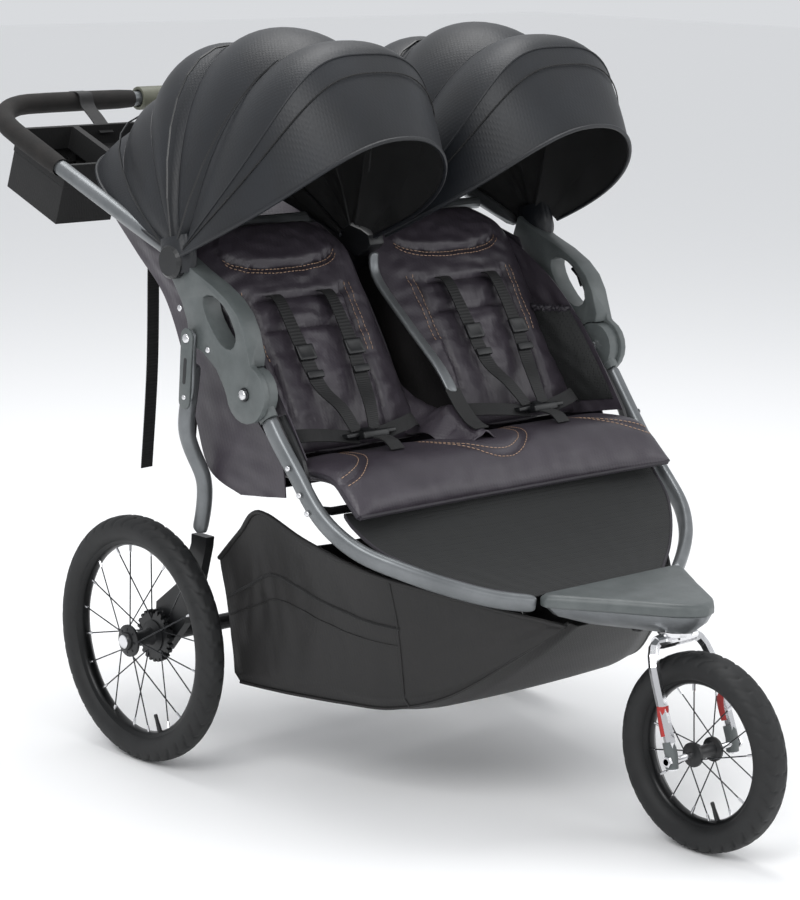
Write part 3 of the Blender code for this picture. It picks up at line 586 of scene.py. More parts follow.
def canopyPoint(side, seam, share, grow=0.0):
    top, foot, height, half, squareness = seam
    start = (canopyFoot / height) ** (squareness / 2)
    low = atan2(start, sqrt(1 - start**2))
    angle = low + (pi - 2 * low) * share
    c, s = cos(angle), sin(angle)
    x = canopyMiddle + (half + grow * 0.6) * abs(c) ** (2 / squareness) * (1 if c > 0 else -1)
    x = max(x, 0.012)
    reach = (height + grow) * abs(s) ** (2 / squareness)
    lean = radians(top + (foot - top) * (1 - s**2))
    return Vector((side * x, canopyY - sin(lean) * reach, canopyZ + cos(lean) * reach))


def canopyPanel(name, side, first, second, bulge, rows, bodies, finish="canopy"):
    def place(u, v):
        mixed = [a + (b - a) * v for a, b in zip(canopySeams[first], canopySeams[second])]
        fade = sin(pi * min(max(u, 0), 1)) ** 0.55
        return canopyPoint(side, mixed, u, bulge * sin(pi * v) ** 0.8 * (0.25 + 0.75 * fade))

    piece = gridPiece(name, 56, rows, place)
    wide = sum((place(i / 20, 0.5) - place((i + 1) / 20, 0.5)).length for i in range(20))
    deep = sum((place(i / 20, 0) - place(i / 20, 1)).length for i in range(21)) / 21
    outwardFrom(piece, Vector((side * canopyMiddle, canopyY, canopyZ + 0.1)))
    addModifier(piece, "SOLIDIFY", thickness=0.0016, offset=-1.0, material_offset=1)
    applyModifiers(piece)
    dress(piece, None, finishes[finish], 60)
    piece.data.materials.append(finishes["lining"])
    for face in piece.data.polygons:
        middle = Vector((side * canopyMiddle, canopyY, canopyZ + 0.1))
        if face.normal.dot(middle - face.center) > 0:
            face.material_index = 1
    if len(bodies) == 1:
        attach(piece, bodies[0])
    else:
        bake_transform(piece)
    return piece


# turns an open sheet so that its faces look away from a point
def outwardFrom(piece, centre):
    pick(piece)
    total = sum(face.normal.dot(face.center - centre) * face.area for face in piece.data.polygons)
    if total < 0:
        piece.data.flip_normals()


def seamLine(side, seam, grow, count=48, low=0.0, high=1.0):
    return [canopyPoint(side, canopySeams[seam], low + (high - low) * i / count, grow)
            for i in range(count + 1)]


def makeCanopy(label, side):
    handle, mid, front, visor = "handle_frame", "canopy_mid_" + label, "canopy_front_" + label, "visor_" + label
    panels = [
        canopyPanel("canopy_tail_hem_" + label, side, "hem", "tail", 0.004, 4, [handle]),
        canopyPanel("canopy_back_panel_" + label, side, "tail", "back", 0.009, 8, [handle]),
        canopyPanel("canopy_crown_panel_" + label, side, "back", "crown", 0.021, 12, [handle, mid]),
        canopyPanel("canopy_brow_panel_" + label, side, "crown", "brow", 0.013, 14, [mid, front]),
        canopyPanel("canopy_visor_top_" + label, side, "brow", "ridge", 0.012, 10, [front, visor]),
        canopyPanel("canopy_visor_face_" + label, side, "ridge", "lip", -0.004, 10, [visor]),
    ]
    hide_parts("canopy_rear_panel_" + label)
    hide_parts("canopy_mid_panel_" + label)
    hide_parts("canopy_front_panel_" + label)
    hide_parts("visor_" + label)
    for seam, body, thick in (("hem", handle, 0.0032), ("tail", handle, 0.0013), ("back", handle, 0.0013),
                              ("crown", mid, 0.0013), ("brow", front, 0.0014), ("ridge", visor, 0.0016),
                              ("lip", visor, 0.0034)):
        piping = tubePiece("canopy_" + seam + "_piping_" + label, seamLine(side, seam, 0.0004), thick, 8)
        dress(piping, body, finishes["canopy"])
    inner = [canopyPoint(side, [a + (b - a) * 0.24 for a, b in zip(canopySeams["ridge"], canopySeams["lip"])],
                         i / 48, -0.0002) for i in range(49)]
    dress(tubePiece("canopy_visor_seam_" + label, inner, 0.0011, 6), visor, finishes["lining"])


for label, side in (("right", -1), ("left", 1)):
    makeCanopy(label, side)
print("canopies ready")

# seats

seat = {"creaseY": -0.262, "creaseZ": 0.520, "lean": 33.5, "height": 0.392, "inner": 0.020, "outer": 0.338,
        "thick": 0.044, "cuts": 66}


def backPoint(side, x, up, depth):
    lean = radians(seat["lean"])
    return at(side * x, seat["creaseY"] + sin(lean) * up - cos(lean) * depth,
              seat["creaseZ"] + cos(lean) * up + sin(lean) * depth)


# a closed pad: a subdivided cube whose front swells and whose rim closes;
# place(a, b, depth) sets it in the model
def padPiece(name, cuts, thickness, place, relief, rimA=5.0, rimB=7.0):
    deselectAll()
    bpy.ops.mesh.primitive_cube_add(size=2)
    piece = bpy.context.object
    piece.name = name
    bpy.ops.object.mode_set(mode="EDIT")
    bpy.ops.mesh.select_all(action="SELECT")
    bpy.ops.mesh.subdivide(number_cuts=cuts)
    bpy.ops.object.mode_set(mode="OBJECT")
    for vertex in piece.data.vertices:
        a, b, c = vertex.co.x * 0.996, vertex.co.z * 0.996, -vertex.co.y
        full = sqrt(max(0.0, 1 - abs(a) ** rimA)) * sqrt(max(0.0, 1 - abs(b) ** rimB))
        depth = thickness / 2 * (1 + c * max(full, 0.04))
        if c > 0:
            depth += c * full * relief(a, b)
        vertex.co = place(a, b, depth)
    outward(piece)
    return piece


def groove(distance, width):
    return -1.0 / (1.0 + (distance / width) ** 2) ** 2


def ripple(x, y, size, seed):
    return noise.noise(Vector((x / size, y / size, seed)))


def makeSeatBack(label, side):
    body = "seat_back_" + label
    half = (seat["outer"] - seat["inner"]) / 2
    centre = (seat["outer"] + seat["inner"]) / 2
    headFoot = 0.60          # where the head pad ends, from -1 at the crease to 1 at the top

    def halfWidth(b):
        return half * (1 - 0.42 * max(0.0, (b - 0.55) / 0.45) ** 3)

    def archLine(a):
        return headFoot - 0.20 * sqrt(max(0.0, 1 - min(1.0, abs(a) / 0.74) ** 2.6)) + 0.16

    def relief(a, b):
        swell = 0.016 * (1 - abs(a) ** 2.4) * (1 - abs(b) ** 3)
        if b > archLine(a) and abs(a) < 0.76:
            swell += 0.006
        swell += 0.010 * groove(b - archLine(a), 0.022) * (abs(a) < 0.78)
        for height in (0.28, 0.02):
            if abs(a) < 0.62:
                swell += 0.008 * groove(b - height, 0.028) * min(1.0, (0.62 - abs(a)) * 8)
        if b < 0.36:
            swell += 0.011 * groove(abs(a) - 0.60 - 0.04 * b, 0.035)
        swell += 0.0035 * ripple(a, b * 3, 0.22, side * 3.0) + 0.0018 * ripple(a * 3, b, 0.12, 9.0)
        return swell

    def place(a, b, depth):
        return backPoint(side, centre + a * halfWidth(b), seat["height"] * (b + 1) / 2 + 0.004, depth)

    pad = padPiece("seat_back_pad_" + label, seat["cuts"], seat["thick"] - 0.014, place, relief)
    dress(pad, body, finishes["seat"], 80)
    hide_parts("seat_back_" + label)

    def surface(a, b, lift=0.001):
        full = sqrt(max(0.0, 1 - abs(a) ** 5)) * sqrt(max(0.0, 1 - abs(b) ** 7))
        thick = seat["thick"] - 0.014
        return place(a, b, thick / 2 * (1 + full) + full * relief(a, b) + lift)

    front = backPoint(side, 0, 0, 1) - backPoint(side, 0, 0, 0)
    lines = []
    for shift in (0.045, 0.085):
        lines.append([surface(a, archLine(a) - shift + 0.02)
                      for a in [(-0.72 + 1.44 * i / 40) for i in range(41)]])
    for sign in (-1, 1):
        for shift in (0.0, 0.07):
            lines.append([surface(sign * (0.66 + shift + 0.10 * (t / 30)), -0.05 + 0.42 * (1 - (t / 30) ** 2))
                          for t in range(0, 31)])
            lines.append([surface(sign * (0.66 + shift - 0.03 * (t / 30)),
                                  0.37 - (0.62 * t / 30)) for t in range(31)])
    stitches = mergePieces("seat_back_stitching_" + label,
                           [stitchPiece("stitch", line, lambda p: front) for line in lines[:2]]
                           + [stitchPiece("stitch", line, lambda p: front) for line in lines[3::2]])
    dress(stitches, body, finishes["thread"], 60)
    rim = [place(cos(t) * abs(cos(t)) ** -0.35 if abs(cos(t)) > 1e-6 else 0.0,
                 sin(t) * abs(sin(t)) ** -0.35 if abs(sin(t)) > 1e-6 else 0.0,
                 (seat["thick"] - 0.014) / 2) for t in [2 * pi * i / 90 for i in range(90)]]
    dress(tubePiece("seat_back_piping_" + label, rim, 0.003, 8, closed=True), body, finishes["piping"])


cushion = {"half": 0.336, "bow": 0.024, "lift": 0.006, "thick": 0.034, "cuts": 74}
cushionLine = [(-0.276, 0.512), (-0.330, 0.5195), (-0.385, 0.5245), (-0.414, 0.518), (-0.440, 0.4945),
               (-0.462, 0.4745)]


def cushionPoint(a, b, depth):
    line = curvePoints([(0, *p) for p in cushionLine], 12)
    share = (b + 1) / 2 * (len(line) - 1)
    i = min(int(share), len(line) - 2)
    spot = line[i].lerp(line[i + 1], share - i)
    way = (line[i + 1] - line[i]).normalized()
    normal = Vector((0, way.z, -way.y))
    if normal.z < 0:
        normal = -normal
    spot = spot + normal * (depth - cushion["thick"] / 2)
    return at(a * cushion["half"], spot.y - cushion["bow"] * a**2 * (0.35 + 0.65 * (b + 1) / 2),
              spot.z + cushion["lift"] * a**2)


def cushionRelief(a, b):
    swell = 0.009 * (1 - abs(b) ** 4) * (1 - abs(a) ** 14)
    for centre, spread in ((-1.0, 0.33), (0.04, 0.30), (1.0, 0.33)):
        reach = ((a - centre) / spread) ** 2 + ((b + 1.15) / 1.45) ** 2
        swell += 0.006 * groove(sqrt(reach) - 1, 0.07)
    pucker = max(0.0, (b - 0.1)) * 0.0045
    swell += pucker * ripple(a * 9, b, 0.55, 4.0) + 0.003 * ripple(a * 2.2, b, 0.5, 7.0)
    return swell


def makeCushion():
    pad = padPiece("seat_cushion_pad", cushion["cuts"], cushion["thick"] - 0.006, cushionPoint,
                   cushionRelief, 26.0, 7.0)
    dress(pad, "frame", finishes["seat"], 80)
    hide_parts("seat_cushion")
    up = Vector((0, -0.45, 0.9)).normalized()
    thick = cushion["thick"] - 0.006
    lines = []
    for centre, spread, low, high in ((-1.0, 0.33, -0.3, 1.45), (0.04, 0.30, -1.45, 1.45),
                                      (1.0, 0.33, -1.45, 0.3)):
        for scale in (0.95, 1.06):
            line = []
            for i in range(61):
                turn = low + (high - low) * i / 60
                a = centre + spread * scale * sin(turn)
                b = -1.15 + 1.45 * scale * cos(turn)
                if -0.94 < b < 0.96 and abs(a) < 0.98:
                    full = sqrt(max(0.0, 1 - abs(a) ** 26)) * sqrt(max(0.0, 1 - abs(b) ** 7))
                    line.append(cushionPoint(a, b,
                                             thick / 2 * (1 + full) + full * cushionRelief(a, b) + 0.0008))
            if len(line) > 3:
                lines.append(stitchPiece("stitch", line, lambda p: up))
    dress(mergePieces("seat_cushion_stitching", lines), "frame", finishes["thread"], 60)
    rim = [cushionPoint(-0.985 + 1.97 * i / 60, 0.985, thick / 2) for i in range(61)]
    dress(tubePiece("seat_cushion_piping", rim, 0.0042, 8), "frame", finishes["piping"])
    for number, sign in enumerate((-1, 1)):
        side = [cushionPoint(sign * 0.994, -0.95 + 1.93 * i / 30, thick / 2) for i in range(31)]
        dress(tubePiece("seat_cushion_side_piping_%d" % number, side, 0.0035, 8), "frame", finishes["piping"])


# side and rear skins of the bucket: the side skin runs from the casing at its front edge to the seat back at
# its rear edge
skin = {"x": 0.3455, "rear": [(0.128, 0.872), (0.058, 0.812), (-0.012, 0.752), (-0.060, 0.664),
                              (-0.092, 0.570),
                              (-0.128, 0.492), (-0.205, 0.466)],
        "front": [(-0.112, 0.806), (-0.128, 0.775), (-0.160, 0.715), (-0.215, 0.650), (-0.262, 0.592),
                  (-0.318, 0.540), (-0.330, 0.484)]}


def edgeAt(points, share):
    line = curvePoints([(0, *p) for p in points], 8)
    where = share * (len(line) - 1)
    i = min(int(where), len(line) - 2)
    return line[i].lerp(line[i + 1], where - i)


def makeSkins(label, side):
    def place(u, v):
        rear, front = edgeAt(skin["rear"], v), edgeAt(skin["front"], v)
        spot = rear.lerp(front, u)
        fold = 0.004 * ripple(u * 2, v * 7, 0.5, side * 5.0) * sin(pi * u)
        x = skin["x"] - 0.014 * (1 - u) ** 2 - 0.006 * sin(pi * v) * sin(pi * u) + fold
        return at(side * x, spot.y, spot.z)

    piece = gridPiece("seat_side_skin_" + label, 30, 60, place)
    wide = sum((edgeAt(skin["rear"], i / 10) - edgeAt(skin["front"], i / 10)).length for i in range(11)) / 11
    tall = sum((place(0.5, i / 20) - place(0.5, (i + 1) / 20)).length for i in range(20))
    outwardFrom(piece, at(0, -0.2, 0.65))
    thicken(piece, 0.0022)
    dress(piece, None, finishes["seat"], 70)
    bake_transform(piece)

    def rearPlace(u, v):
        spot = edgeAt(skin["rear"], v)
        x = u * (skin["x"] - 0.014)
        sag = 0.030 * sin(pi * v) * (1 - (x / skin["x"]) ** 4)
        wrinkle = 0.004 * ripple(u * 2, v * 5, 0.5, side * 8.0) * sin(pi * v)
        return at(side * x, spot.y - sag * 0.5 + wrinkle, spot.z + sag * 0.3)

    cover = gridPiece("seat_rear_skin_" + label, 30, 50, rearPlace)
    deep = sum((rearPlace(0.5, i / 20) - rearPlace(0.5, (i + 1) / 20)).length for i in range(20))
    outwardFrom(cover, at(0, -0.3, 0.7))
    thicken(cover, 0.0022)
    dress(cover, "seat_back_" + label, finishes["seat"], 70)

    # inner wall from the pad's edge to the casing, with its gathered pocket on the outer seats
    padEdge = [(-0.040, 0.838), (-0.092, 0.765), (-0.145, 0.684), (-0.200, 0.602), (-0.262, 0.527)]
    frontEdge = [(-0.106, 0.800), (-0.190, 0.752), (-0.262, 0.690), (-0.322, 0.618), (-0.372, 0.548)]

    def wallPlace(u, v):
        rear, front = edgeAt(padEdge, v), edgeAt(frontEdge, v)
        spot = rear.lerp(front, u)
        x = 0.322 + 0.018 * u ** 0.7 + 0.004 * ripple(u * 2, v * 5, 0.4, side * 11.0) * sin(pi * u)
        return at(side * min(x, 0.341), spot.y, spot.z)

    wall = gridPiece("seat_inner_wall_" + label, 24, 40, wallPlace)
    tall = sum((wallPlace(0.5, i / 20) - wallPlace(0.5, (i + 1) / 20)).length for i in range(20))
    wide = sum((wallPlace(0, i / 10) - wallPlace(1, i / 10)).length for i in range(11)) / 11
    thicken(wall, 0.0018)
    dress(wall, "handle_frame", finishes["seat"], 70)
    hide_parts("side_panel_" + label)

    def pocketPlace(u, v):
        spot = wallPlace(0.16 + 0.78 * u, 0.46 + 0.46 * v)
        bulge = 0.020 * sin(pi * u) ** 0.7 * sin(pi * min(1.0, 0.35 + 0.65 * v)) ** 0.8
        return spot - Vector((side * (0.003 + bulge), 0, 0))

    pocket = gridPiece("side_pocket_net_" + label, 20, 24, pocketPlace)
    thicken(pocket, 0.0012)
    dress(pocket, "handle_frame", finishes["mesh"], 70)
    hem = []
    for i in range(61):
        spot = pocketPlace(i / 60, 0.0)
        hem.append(spot + Vector((0.0018 * sin(i * 2.1) * side, 0.0012 * cos(i * 1.7),
                                  0.0022 * sin(i * 1.4))))
    dress(tubePiece("side_pocket_elastic_" + label, hem, 0.0048, 8), "handle_frame", finishes["piping"],
          70)


# web of black cloth under the strut and the cloth tongue that the strut ends in
def makeDividerCloth():
    top = [(-0.126, 0.790), (-0.140, 0.755), (-0.200, 0.704), (-0.258, 0.658), (-0.318, 0.600)]
    foot = [(-0.060, 0.760), (-0.120, 0.680), (-0.190, 0.600), (-0.262, 0.556), (-0.330, 0.566)]

    def place(u, v):
        spot = edgeAt(top, v).lerp(edgeAt(foot, v), u)
        return at(0.004 * sin(pi * u) * sin(3 * pi * v), spot.y, spot.z)

    web = gridPiece("divider_web", 16, 30, place)
    long = sum((place(0.5, i / 20) - place(0.5, (i + 1) / 20)).length for i in range(20))
    wide = sum((place(0, i / 10) - place(1, i / 10)).length for i in range(11)) / 11
    thicken(web, 0.0018)
    dress(web, "handle_frame", finishes["basket"], 70)

    ridgeLine = [(-0.150, 0.640), (-0.215, 0.596), (-0.280, 0.575), (-0.325, 0.585), (-0.362, 0.566),
                 (-0.400, 0.556)]

    def saddle(u, v):
        spot = edgeAt(ridgeLine, v)
        across = (u - 0.5) * 2
        fall = 0.052 * abs(across) ** 1.5
        crumple = 0.004 * ripple(across, v * 6, 0.35, 21.0) * (1 - abs(across) ** 6)
        steep = max(0.0, 1 - v * 1.6)
        return at(across * (0.062 - 0.016 * v), spot.y + fall * 0.55 * steep + crumple,
                  spot.z - fall * (0.75 - 0.2 * steep) + crumple)

    tongue = gridPiece("divider_tongue", 26, 50, saddle)
    long = sum((saddle(0.5, i / 20) - saddle(0.5, (i + 1) / 20)).length for i in range(20))
    wide = sum((saddle(i / 20, 0.5) - saddle((i + 1) / 20, 0.5)).length for i in range(20))
    thicken(tongue, 0.0024)
    dress(tongue, "handle_frame", finishes["seat"], 70)
    strap = [at(0, y, z) for y, z in ((-0.322, 0.612), (-0.334, 0.598), (-0.350, 0.582), (-0.372, 0.566),
                                      (-0.392, 0.560))]
    band = bandPiece("strut_end_strap", curvePoints(strap, 6), 0.030, 0.0020, (1, 0, 0))
    dress(band, "handle_frame", finishes["webbing"], 60)


# harness

def buckleBlock(name, centre, size, turnMatrix, body, finish="nylon", inset=True):
    deselectAll()
    bpy.ops.mesh.primitive_cube_add(size=1)
    piece = bpy.context.object
    piece.name = name
    for vertex in piece.data.vertices:
        vertex.co = Vector((vertex.co.x * size[0], vertex.co.y * size[1], vertex.co.z * size[2]))
    addModifier(piece, "BEVEL", width=min(size) * 0.28, segments=3)
    applyModifiers(piece)
    if inset:
        pick(piece)
        bpy.ops.object.mode_set(mode="EDIT")
        bpy.ops.mesh.select_all(action="DESELECT")
        bpy.ops.object.mode_set(mode="OBJECT")
        top = max(piece.data.polygons, key=lambda f: f.center.z)
        top.select = True
        bpy.ops.object.mode_set(mode="EDIT")
        bpy.ops.mesh.inset(thickness=min(size[:2]) * 0.14, depth=-min(size) * 0.16)
        bpy.ops.object.mode_set(mode="OBJECT")
    piece.data.transform(Matrix.Translation(centre) @ turnMatrix)
    dress(piece, body, finishes[finish], 35)
    return piece


def makeHarness(label, side):
    body = "seat_back_" + label
    lean = radians(seat["lean"])
    upWay, out = Vector((0, sin(lean), cos(lean))), Vector((0, -cos(lean), sin(lean)))
    tilt = Matrix((Vector((1, 0, 0)), upWay, out)).transposed().to_4x4()
    centre = (seat["outer"] + seat["inner"]) / 2
    buckle = at(side * (centre + 0.004), -0.330, 0.556)
    for number, shift in enumerate((-0.052, 0.052)):
        anchors = [backPoint(side, centre + shift, 0.262, 0.040),
                   backPoint(side, centre + shift, 0.245, 0.056),
                   backPoint(side, centre + shift * 0.98, 0.170, 0.062),
                   backPoint(side, centre + shift * 0.85, 0.095, 0.062),
                   backPoint(side, centre + shift * 0.55, 0.048, 0.074),
                   buckle + Vector((side * shift * 0.35, 0.006, 0.012))]
        line = curvePoints(anchors, 8)
        across = [Vector((1, 0.15 * sin(i * 0.2), 0)) for i in range(len(line))]
        band = bandPiece("shoulder_strap_%s_%d" % (label, number), line, 0.025, 0.0018, across)
        dress(band, body, finishes["webbing"], 60)
        spot = backPoint(side, centre + shift * 0.95, 0.150, 0.066)
        buckleBlock("strap_slider_%s_%d" % (label, number), spot, (0.034, 0.026, 0.007), tilt, body)
        ladder = backPoint(side, centre + shift * 0.9, 0.112, 0.066)
        buckleBlock("strap_ladder_%s_%d" % (label, number), ladder, (0.032, 0.012, 0.006), tilt, body,
                    inset=False)
        waist = [backPoint(side, centre + shift * 2.7, 0.022, 0.036),
                 backPoint(side, centre + shift * 2.3, 0.020, 0.056),
                 at(side * (centre + shift * 1.5), -0.322, 0.568),
                 buckle + Vector((side * shift * 0.45, 0.0, 0.004))]
        line = curvePoints(waist, 8)
        across = [Vector((0, 0.75, 0.65)) for _ in line]
        band = bandPiece("waist_strap_%s_%d" % (label, number), line, 0.025, 0.0018, across)
        dress(band, "frame", finishes["webbing"], 60)
    crotch = curvePoints([at(side * centre, -0.395, 0.549), at(side * centre, -0.378, 0.560),
                          at(side * centre, -0.352, 0.562),
                          buckle], 8)
    dress(bandPiece("crotch_strap_" + label, crotch, 0.027, 0.0020, (1, 0, 0)), "frame", finishes["webbing"],
          60)
    flat = Matrix.Rotation(radians(-12), 4, "X")
    buckleBlock("harness_buckle_" + label, buckle + Vector((0, 0, 0.006)), (0.052, 0.046, 0.013), flat,
                "frame")
    button = turnedPiece("harness_button_" + label, buckle + Vector((0, 0, 0.0115)), (0, -0.2, 1),
                         [(0, 0.011), (0.0022, 0.011), (0.0030, 0.0095), (0.0034, 0.007)], 24)
    dress(button, "frame", finishes["nylon"])
    for number, way in enumerate((-1, 1)):
        buckleBlock("buckle_tongue_%s_%d" % (label, number), buckle + Vector((way * 0.037, 0.004, 0.007)),
                    (0.026, 0.030, 0.007), flat, "frame", inset=False)


makeCushion()
makeDividerCloth()
for label, side in (("right", -1), ("left", 1)):
    makeSeatBack(label, side)
    makeSkins(label, side)
    makeHarness(label, side)
print("seats ready")

# wheels

# a closed ring round the X axis; outline(share, turn) gives (x from the middle, radius)
def ringPiece(name, centre, around, across, outline):
    def place(u, v):
        turn = 2 * pi * u
        x, radius = outline(v, turn)
        return centre + Vector((x, radius * sin(turn), radius * cos(turn)))

    piece = gridPiece(name, around, across, place)
    outward(piece)
    return piece


wheelKinds = {
    "rear": {"spokes": 20, "tyreHalf": 0.0222, "groove": 0.0028, "blocks": 44, "around": 420,
             "hubHalf": 0.030,
             "flange": 0.026, "hubCore": 0.0115, "spoke": 0.0011},
    "front": {"spokes": 16, "tyreHalf": 0.0268, "groove": 0.0026, "blocks": 36, "around": 360,
              "hubHalf": 0.028,
              "flange": 0.0185, "hubCore": 0.010, "spoke": 0.0010},
}


def makeWheel(name, kind, tyreNode, wheelNode, body, outerSide):
    size = wheelKinds[kind]
    centre = middleOf(tyreNode)
    low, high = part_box(tyreNode)
    radius = (high.z - low.z) / 2
    centre = Vector((centre.x, centre.y, low.z + radius))
    rimLow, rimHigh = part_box(wheelNode)
    rim = (rimHigh.z - rimLow.z) / 2
    half, deep = size["tyreHalf"], (radius - rim + 0.006) / 2

    def tyreOutline(share, turn):
        roll = 2 * pi * share
        x = half * 0.995 * abs(sin(roll)) ** 0.85 * (1 if sin(roll) > 0 else -1)
        r = radius - deep + deep * abs(cos(roll)) ** 0.9 * (1 if cos(roll) > 0 else -1)
        if cos(roll) > 0.15:
            lane = x / half
            zigzag = turn * size["blocks"] / (2 * pi) + 0.42 * sin(lane * 4.2) * (1 if lane > 0 else -1)
            slot = abs((zigzag % 1.0) - 0.5) * 2
            cut = max(0.0, 1 - slot * 3.6) if 0.16 < abs(lane) < 0.96 else 0.0
            ridge = max(0.0, 1 - abs(abs(lane) - 0.13) * 26)
            depth = size["groove"] * max(cut, ridge * 0.8)
            r, x = r - depth * max(0.0, cos(roll)), x - depth * sin(roll) * 0.6
        return x, r

    tyre = ringPiece(name + "_tyre", centre, size["around"], 56, tyreOutline)
    dress(tyre, body, finishes["tyre"], 50)
    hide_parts(tyreNode)

    profile = [(-0.0135, rim - 0.001), (-0.0150, rim + 0.0035), (-0.0135, rim + 0.0050),
               (0.0135, rim + 0.0050),
               (0.0150, rim + 0.0035), (0.0135, rim - 0.001), (0.0105, rim - 0.0085), (0.0045, rim - 0.0120),
               (-0.0045, rim - 0.0120), (-0.0105, rim - 0.0085)]

    def rimOutline(share, turn):
        where = share * len(profile)
        i = int(where) % len(profile)
        a, b = profile[i], profile[(i + 1) % len(profile)]
        t = where - int(where)
        return a[0] + (b[0] - a[0]) * t, a[1] + (b[1] - a[1]) * t

    hoop = ringPiece(name + "_rim", centre, 128, 2 * len(profile), rimOutline)
    dress(hoop, body, finishes["rim"], 40)
    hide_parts(wheelNode)

    spokes, nipples = [], []
    for i in range(size["spokes"]):
        sign = 1 if i % 2 else -1
        lead = (1 if (i // 2) % 2 else -1) * 0.42
        turn = 2 * pi * (i + 0.5) / size["spokes"]
        start = centre + Vector((sign * (size["hubHalf"] - 0.004), size["flange"] * 0.82 * sin(turn + lead),
                                 size["flange"] * 0.82 * cos(turn + lead)))
        end = centre + Vector((sign * 0.0025, (rim - 0.0105) * sin(turn), (rim - 0.0105) * cos(turn)))
        spokes.append(tubePiece("spoke", [start, start.lerp(end, 0.5), end], size["spoke"], 8))
        way = (start - end).normalized()
        nipples.append(tubePiece("nipple", [end - way * 0.002, end + way * 0.010, end + way * 0.013],
                                 [0.0024, 0.0022, 0.0014], 8))
    dress(mergePieces(name + "_spokes", spokes), body, finishes["spoke"])
    dress(mergePieces(name + "_nipples", nipples), body, finishes["chrome"])

    hub = size["hubHalf"]
    stations = [(-hub, 0.008), (-hub + 0.002, size["flange"] * 0.72), (-hub + 0.004, size["flange"]),
                (-hub + 0.008, size["flange"]), (-hub + 0.011, size["hubCore"] * 1.25),
                (-hub * 0.4, size["hubCore"]),
                (hub * 0.4, size["hubCore"]), (hub - 0.011, size["hubCore"] * 1.25),
                (hub - 0.008, size["flange"]),
                (hub - 0.004, size["flange"]), (hub - 0.002, size["flange"] * 0.72), (hub, 0.008)]
    dress(turnedPiece(name + "_hub", centre, (1, 0, 0), stations, 40), body, finishes["nylon"])
    stem = centre + Vector((0.002 * outerSide, (rim - 0.010) * sin(0.35 + pi),
                            (rim - 0.010) * cos(0.35 + pi)))
    way = (centre - stem)
    way.x = 0.010 * outerSide
    way.normalize()
    dress(tubePiece(name + "_valve", [stem, stem + way * 0.012, stem + way * 0.020, stem + way * 0.028,
                                      stem + way * 0.030], [0.0042, 0.0036, 0.0030, 0.0032, 0.0022], 10),
          body, finishes["nylon"])
    return centre, rim


def makeRearWheelDetail(label, side):
    body = "rear_wheel_" + label
    centre = makeWheel("rear_wheel_" + label, "rear", "rear_%s_tyre" % label,
                       "rear_%s_wheel" % label, body, side)[0]
    teeth = 24

    def discOutline(share, turn):
        profile = [(0.0, 0.015), (0.0, 0.043), (0.009, 0.043), (0.009, 0.015)]
        where = share * 4
        i = int(where) % 4
        a, b = profile[i], profile[(i + 1) % 4]
        t = where - int(where)
        r = a[1] + (b[1] - a[1]) * t
        if r > 0.040:
            r -= 0.0055 * (1 if (turn * teeth / (2 * pi)) % 1.0 > 0.5 else 0)
        return -side * (0.024 + a[0] + (b[0] - a[0]) * t), r

    disc = ringPiece("brake_disc_" + label, centre, teeth * 8, 16, discOutline)
    dress(disc, body, finishes["nylon"], 30)
    holes = []
    for i in range(8):
        turn = 2 * pi * i / 8
        spot = centre + Vector((side * 0.0272, 0.019 * sin(turn), 0.019 * cos(turn)))
        holes.append(turnedPiece("rivet", spot, (side, 0, 0),
                                 [(0, 0.0022), (0.0012, 0.0020), (0.0018, 0.0012)], 12))
    dress(mergePieces("hub_rivets_" + label, holes), body, finishes["spoke"])
    cap = turnedPiece("hub_cap_" + label, centre + Vector((side * 0.0285, 0, 0)), (side, 0, 0),
                      [(0, 0.0150), (0.0035, 0.0150), (0.0055, 0.0135), (0.0058, 0.0095),
                       (0.0048, 0.0088)], 36)
    dress(cap, body, finishes["nylon"])
    ring = turnedPiece("hub_ring_" + label, centre + Vector((side * 0.0335, 0, 0)), (side, 0, 0),
                       [(0, 0.0112), (0.0022, 0.0112), (0.0030, 0.0102), (0.0026, 0.0088)], 36)
    dress(ring, body, finishes["chrome"])


for label, side in (("right", -1), ("left", 1)):
    makeRearWheelDetail(label, side)
makeWheel("front_wheel", "front", "front_tyre", "front_wheel", "front_wheel", -1)
print("wheels ready")

# smoother copies of the moulded and bent pieces

def smoothCopy(node, body, finish, bevel=0.0, levels=0, angle=40, segments=2):
    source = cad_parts[node]
    piece = source.copy()
    piece.data = source.data.copy()
    piece.parent = None
    for key in list(piece.keys()):
        if key.startswith("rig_"):
            del piece[key]
    piece.name = node + "_shell"
    scene.collection.objects.link(piece)
    piece.matrix_world = Matrix.Identity(4)
    pick(piece)
    bpy.ops.object.mode_set(mode="EDIT")
    bpy.ops.mesh.select_all(action="SELECT")
    bpy.ops.mesh.remove_doubles(threshold=0.00002)
    if levels:
        bpy.ops.mesh.tris_convert_to_quads(face_threshold=radians(60), shape_threshold=radians(80))
    else:
        bpy.ops.mesh.dissolve_limited(angle_limit=radians(1.0))
    bpy.ops.object.mode_set(mode="OBJECT")
    if bevel:
        addModifier(piece, "BEVEL", width=bevel, segments=segments, limit_method="ANGLE",
                    angle_limit=radians(38))
        applyModifiers(piece)
    if levels:
        subdivide(piece, levels)
    dress(piece, body, finishes[finish], angle)
    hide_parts(node)
    return piece


